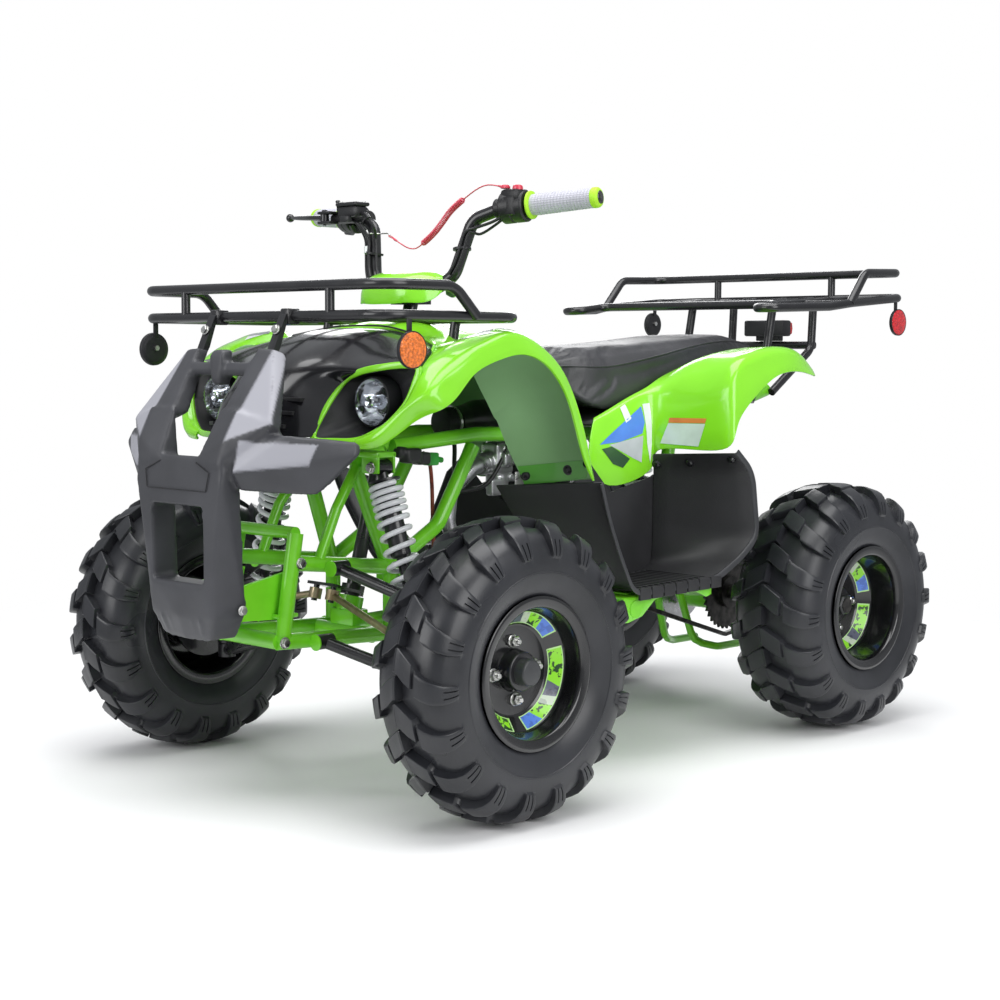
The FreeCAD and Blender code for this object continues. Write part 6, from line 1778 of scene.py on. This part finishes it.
def welt():
    """A welted seam: a thin bead laid on the cover along one shoulder."""
    line = []
    for y, half, _, seam, _ in seat_rows[2:-2]:
        origin = Vector((1.2 * half, y, seam)) * MM
        place, normal, _, _ = seat_tree.ray_cast(origin, Vector((-1, 0, 0)))
        if place is not None:
            line.append(tuple((place + normal * 0.3 * MM) / MM))
    return sweep(smooth_line(line, 120), 1.9, 10)


mesh_object("saddle_welts", pair(welt()), seat_cover, "seat")


# Handlebar: black steel tube of 22 mm with risers, and on it knurled pale grey grips with lime collars
# and end caps, a switch drum on the left, the throttle drum, brake lever and its fluid pot on the
# right.

BAR_PATH = [(0, -285.0, 838), (70, -284.0, 840), (102, -276.0, 862), (127, -257.0, 955), (182, -244.0, 972),
    (362, -194.4, 984.4)]
GRIP_START = np.array([241.0, -227.6, 976.1])
GRIP_WAY = np.array([180.0, 49.6, 12.4]) / np.linalg.norm([180.0, 49.6, 12.4])
half_bar = sweep(bend_path(BAR_PATH, 32), 11.1, 24)
mesh_object("handlebar_tube", pair(half_bar), black_enamel, "handlebar", body="steering")


def on_bar(x):
    """The point of the bar's straight end at that x."""
    return GRIP_START + GRIP_WAY * ((x - GRIP_START[0]) / GRIP_WAY[0])


def lathe(x, profile, sides=40, bumps=None):
    """A turned piece on the bar's straight end, from a profile of (distance along it, radius)."""
    profile = np.asarray(profile, float)
    across = np.cross(GRIP_WAY, [0.0, 0.0, 1.0])
    across = unit(across)
    up = np.cross(across, GRIP_WAY)
    angle = around(sides)
    radius = np.repeat(profile[:, 1:], sides, 1)
    if bumps is not None:
        radius = radius + bumps(profile[:, :1], angle[None, :])
    place = on_bar(x) + profile[:, :1, None] * GRIP_WAY
    points = place + radius[:, :, None] * (
        np.cos(angle)[None, :, None] * across + np.sin(angle)[None, :, None] * up)
    faces = [list(f) for f in grid_faces(len(profile), sides, wrap_columns=True)]
    faces += [list(range(sides)), list(range((len(profile) - 1) * sides, len(profile) * sides))]
    return points.reshape(-1, 3), faces


def knurl(along, angle):
    """Rows of rounded diamond studs, half a pitch apart from row to row."""
    wave = np.cos(angle * 14 + along * 0.52) * np.cos(angle * 14 - along * 0.52)
    fade = np.clip((along - 3) / 4, 0, 1) * np.clip((117 - along) / 4, 0, 1)
    return 1.0 * fade * np.clip(wave + 0.25, 0, 1)


def grip_rubber(name, colour):
    """Soft moulded rubber."""
    material = finish(name, colour, 0.5, specular=0.4)
    mottle(material, tone(colour, 0.93), tone(colour, 1.05), 24.0)
    grain(material, 800.0, 0.25, 0.0002)
    return material


grip_grey = grip_rubber("grip_grey", (0.5, 0.5, 0.56))
grip_lime = grip_rubber("grip_lime", (0.42, 0.8, 0.03))
controls = footwell_plastic("controls_black", (0.014, 0.014, 0.016), 0.38)
sleeve_profile = [(s, 17.6 - 1.9 * s / 120) for s in np.linspace(0, 112, 120)]
grip_part = lathe(241, [(0, 11.5)] + sleeve_profile + [(112, 11.5)], 112, knurl)
collar = lathe(235.2, rounded([(0, 11.6), (0, 22.0), (1, 23.8), (4.6, 23.8), (6, 19.5), (6.5, 11.6)], 1.2),
    48)
cap = lathe(348.6,
    rounded([(0, 11.5), (0, 16.6), (2, 17.3), (10, 17.0), (13.4, 13.5), (13.9, 0.2)], 2.2, 5), 48)
mesh_object("grip_sleeves", pair(grip_part), grip_grey, "grips", sharp=60, body="steering")
mesh_object("grip_collars", pair(collar, cap), grip_lime, "grips", sharp=50, body="steering")

drum = rounded([(0, 18), (0, 25), (2, 27.3), (20, 27.3), (21.5, 26.0), (23, 26.0), (24.5, 27.3), (43, 27.3),
    (46, 24.5), (46, 12)], 1.2)
left_parts = [lathe(187, drum, 48),
    lathe(173, rounded([(0, 11.5), (0, 16), (2, 17), (14, 17), (15, 11.5)], 1), 36)]
left_parts += [box((192, -259.4, 982), (232, -233.4, 1002.6), 6),
    box((196, -262.6, 958), (226, -250, 990), 4), box((199, -222, 962), (228, -214, 984), 3)]
right_parts = [mirror(lathe(187, drum, 48)),
    mirror(lathe(147, rounded([(0, 12), (0, 15), (41, 15)], 1), 36)),
    box((-212, -291.4, 961.4), (-150, -247.4, 979), 6), box((-176, -303.5, 970), (-126, -273, 990), 5)]
pivot = np.array([-216.0, -299.0, 971.0])
right_parts += [box(pivot + (-10, -10, -11), pivot + (24, 14, -5.8), 2),
    box(pivot + (-10, -10, 7), pivot + (24, 14, 12), 2),
    sweep([pivot - (0, 0, 13), pivot + (0, 0, 14)], 3, 14),
    sweep([pivot + (0, 0, 12), pivot + (0, 0, 15)], 5.5, 6)]
# The fluid pot's lid, a cable adjuster, the mirror boss with its ball, and the thumb throttle's arm.
right_parts += [box((-179, -306, 989.5), (-123, -270.6, 996.8), 3),
    box((-160, -312, 960), (-138, -300, 972), 3),
    sweep([(-196, -282, 976), (-196, -284, 998), (-196, -284.4, 1001), (-196, -284.6, 1003.5)],
    [3.2, 3.2, 4.8, 3.0], 16),
    sweep([(-186, -262, 962), (-192, -250, 952), (-212, -236, 948), (-236, -230, 950)], [5, 6, 5, 4.5], 14),
    sweep([(-126, -286, 976), (-112, -288, 972), (-104, -290, 966)], [5, 4.5, 4], 14)]
mesh_object("control_housings", left_parts + right_parts, controls, "bar_controls",
    sharp=35, body="steering")
screws_at = [((-170, -299, 997.0), (0, 0, 1)), ((-132, -278, 997.0), (0, 0, 1)),
    ((204, -259, 966), (0, -1, 0)), ((218, -259, 966), (0, -1, 0))]
parts = [sweep([place, tuple(np.array(place) + np.array(way) * 1.6)], 3.4, 16) for place, way in screws_at]
mesh_object("control_screws", parts, plated, "bar_controls", sharp=30, body="steering")
button = [
    sweep([(222, -246, 1001), (222, -246, 1004), (222, -246, 1008), (222, -246, 1009)], [9, 9, 8, 6.5], 28)]
mesh_object("stop_button", button, cord_paint, "bar_controls", sharp=40, body="steering")

lever_line = smooth_line([pivot, pivot + (-16, -3, 1), pivot + (-34, -4, 2), pivot + (-62, 3, 3.6),
    pivot + (-92, 11, 5.4), pivot + (-116, 17.6, 6.9)], 60)
size_along = np.interp(np.linspace(0, 1, 60), [0, 0.12, 0.3, 0.7, 1], [9.0, 8.2, 7.6, 6.8, 4.8])
oval = [(0.62 * math.cos(a), 1.0 * math.sin(a)) for a in around(24)]
blade = sweep(lever_line, size_along, section=[(b, a) for a, b in oval])
ball = sweep([pivot + np.array((-122, 19, 7.2)) + np.array((-0.965, 0.252, 0.057)) * 8 * s
    for s in np.sin(np.linspace(-1.5, 1.5, 15))], 8 * np.cos(np.linspace(-1.5, 1.5, 15)), 24)
eye = sweep([pivot - (0, 0, 5.5), pivot + (0, 0, 6.7)], 8, 24)
mesh_object("brake_lever_blade", [blade, ball, eye], black_enamel, "brake_lever", sharp=50,
    body="steering")

# Cables: the brake hose, throttle cable and two switch leads are strapped to the risers all the way
# down, and go in under the cover, so each is a fixed trim piece of the bar.


def strapped(name, lines, straps, nodes):
    """Cables laid along a riser, each a line with its radius, and the straps round them."""
    parts = [sweep(smooth_line(line, 60), radius, 14) for line, radius in lines]
    parts += [sweep(path, radius, 24) for path, radius in straps]
    return mesh_object(name, parts, controls, nodes, sharp=40, body="steering")


RISER = np.array(
    [(127, -257, 955), (121, -262, 932), (114, -267.5, 905), (107, -273, 880), (98, -278, 862)], float)
right_riser = RISER * (-1, 1, 1)
strapped("strapped_cables",
    [([(-150, -290, 966), (-136, -288, 958)] + [tuple(p + (2, -16.5, 0)) for p in right_riser[1:]], 3.4),
    ([(-166, -262, 958), (-148, -268, 946)] + [tuple(p + (-9, -13, -4)) for p in right_riser[1:]], 2.6),
    ([(-104, -290, 966), (-98, -284, 950)] + [tuple(p + (14, -9, 0)) for p in right_riser[1:]], 2.8),
    ([(205, -256, 960), (176, -262, 948), (142, -266, 940)] + [tuple(p + (4, -13.5, 0)) for p in RISER[1:]],
    2.6), ([(214, -256, 962), (180, -256, 944), (146, -258, 930)]
    + [tuple(p + (11, -9, 0)) for p in RISER[1:]], 2.4)],
    [([right_riser[2] + (1, -3, 2), right_riser[2] + (0.5, -3.3, -2)], 17.5),
    ([RISER[2] + (-1, -2, 2), RISER[2] + (-0.5, -2.4, -2)], 15.8)], "bar_controls")
mesh_object("cable_sleeve", [sweep([(-119.5, -282.4, 917), (-116.4, -284.6, 905)], 4.4, 16)], film_white,
    "bar_controls", sharp=40, body="steering")

# Cover: bright green moulding, crowned over the clamp, with a skirt that is notched where the bar comes
# out.
COVER = [
    ((46, -350, 812), (42, -354, 812), (24, -357, 811), (0, -358, 811)),
    ((64, -345, 813), (58, -349, 834), (38, -352, 845), (0, -353, 848)),
    ((84, -324, 815), (78, -324, 847), (56, -328, 862), (0, -329, 866)),
    ((93, -298, 832), (87, -298, 856), (62, -298, 868), (0, -298, 872)),
    ((92, -276, 848), (86, -276, 857), (62, -276, 868), (0, -276, 872.4)),
    ((86, -256, 832), (80, -256, 854), (56, -256, 864), (0, -256, 868)),
    ((60, -238, 824), (56, -236, 846), (40, -234, 856), (0, -233, 860)),
    ((34, -229, 830), (32, -228, 838), (22, -227, 842), (0, -226.5, 844)),
]
cover_grid = rounded_rows(natural(COVER, 6), [10, 22], steps=5)
moulding("bar_cover_moulding", [cover_grid], green_skin, green_back, 3.0, "handlebar_cover",
    body="steering")


# Racks: bent black steel tube, welded and enamelled, with slats, stanchions and feet. The front one
# stands on the deck and is bolted to the bumper's straps; the rear one's uprights run down to the seat
# rails.

RACK_TUBE, SLAT = 8.6, 5.6
front_runs = [
    ([(0, -628, 785), (314, -628, 785), (322, -333, 785), (0, -333, 785)], RACK_TUBE, 45, True),
    ([(0, -628, 832), (314, -628, 832), (325, -492, 832), (328, -446, 785)], RACK_TUBE, 45, True),
    ([(188, -628, 785), (188, -628, 832)], 7.6, 0, True),
    ([(62, -628, 785), (62, -333, 785)], SLAT, 0, True),
    ([(188, -628, 785), (188, -333, 785)], SLAT, 0, True),
    ([(164, -333, 785), (164, -341, 741)], RACK_TUBE, 0, True),
    ([(-314, -480, 785), (314, -480, 785)], SLAT, 0, False),
]
rear_runs = [([(0, 484, 826), (228, 484, 826), (226, 404, 817), (268, 404, 817), (306, 545, 822),
    (320, 600, 830), (320, 776, 844), (0, 776, 844)], RACK_TUBE, 22, True),
    ([(320, 594, 829), (318, 648, 890), (320, 776, 894), (0, 776, 894)], RACK_TUBE, 32, True),
    ([(150, 776, 844), (150, 776, 894)], 7.6, 0, True),
    ([(105, 776, 844), (105, 770, 740), (105, 632, 650)], RACK_TUBE, 34, True),
    ([(105, 634, 834), (105, 610, 720), (105, 560, 632)], RACK_TUBE, 34, True),
    ([(-112, 771, 748), (112, 771, 748)], RACK_TUBE, 0, False),
    ([(40, 484, 826), (40, 776, 844)], SLAT, 0, True), ([(110, 484, 826), (110, 776, 844)], SLAT, 0, True),
    ([(190, 484, 826), (190, 776, 844)], SLAT, 0, True),
    ([(-316, 620, 831), (316, 620, 831)], SLAT, 0, False),]
rack_black = satin_black()
rack_black.name = "rack_black"
bars("front_rack_tubes", front_runs, rack_black, "front_rack", 22)
bars("rear_rack_tubes", rear_runs, rack_black, "rear_rack", 22)
strap = hull([(84, -676, 716), (101, -676, 716), (84, -668, 716), (101, -668, 716), (85, -668, 735),
    (101, -668, 735), (84, -645, 786), (101, -645, 786), (84, -636, 794), (101, -636, 794), (84, -656, 735),
    (101, -656, 735)])
clamp = box((82, -642, 772), (103, -617, 797), 3)
strap_bolt = bolt((92.5, -657, 763), (0, -0.93, 0.37), across=12, head=5, washer=8)
deck_foot = box((146, -352, 738), (182, -330, 744), 2)
straps = mesh_object("rack_straps", pair(strap, clamp, deck_foot), rack_black, "front_rack",
    sharp=30)
mesh_object("rack_bolts", pair(strap_bolt), plated, "front_rack", sharp=30)


# Reflectors and tail light: round prismatic reflectors in black cups on straps, amber in front and red
# behind, and a black lamp box with a red lens over the rear rack's cross bar.


def prism(name, colour):
    """Translucent moulded reflector plastic with small cells behind its gloss face."""
    material = finish(name, colour, 0.16, coat=0.6)
    mottle(material, tone(colour, 0.6), tone(colour, 1.25), 220.0)
    grain(material, 330.0, 0.9, 0.0012, cells=True)
    return material


amber = prism("amber_prism", (0.86, 0.19, 0.02))
red = prism("red_prism", (0.66, 0.012, 0.02))
for name, centre, reach, material, lens_slot, node, top in (
        ("front_reflector", (334, -591, 732), 29.0, amber, "amber_lens", "reflectors_front", 779),
        ("rear_reflector", (322, 760, 794), 27.0, red, "red_lens", "reflectors_rear", 838)):
    cup = turned(rounded([(-5, 0.1), (-5, reach - 7), (-2, reach - 0.5), (4.5, reach), (5, reach - 1.4),
        (3.5, reach - 1.6)], 1.5), centre, 56)
    lens = turned(rounded([(3.0, reach - 1.5), (5.0, reach - 2.2), (6.0, reach - 8), (6.4, 12), (6.6, 0.1)],
        1.5), centre, 56)
    x, y, z = centre
    hanger = box((x - 6, y - 5, z + 20), (x - 3, y + 5, top), 1)
    screw = sweep([(x - 9, y, z + 2), (x - 4, y, z + 2)], 5, 6)
    mesh_object(name + "_cups", pair(cup, hanger), black_grain, node, sharp=40)
    mesh_object(name + "_lenses", pair(lens), material, node, sharp=50)
    mesh_object(name + "_screws", pair(screw), plated, node, sharp=30)

lamp_low = 748 + RACK_TUBE + 0.3
mesh_object("tail_lamp_box", [box((-30, 756, lamp_low), (30, 774, lamp_low + 14), 2),
    box((-52, 742, lamp_low + 10), (52, 772, lamp_low + 44), 4)], black_grain,
    "tail_light", sharp=30)
lens_hull = hull([(x, y, z) for x in (-48, 48) for y, z in ((771, lamp_low + 12), (780, lamp_low + 16),
    (782, lamp_low + 27), (780, lamp_low + 38), (771, lamp_low + 42))])
mesh_object("tail_lamp_lens", [lens_hull], red, "tail_light", sharp=20)
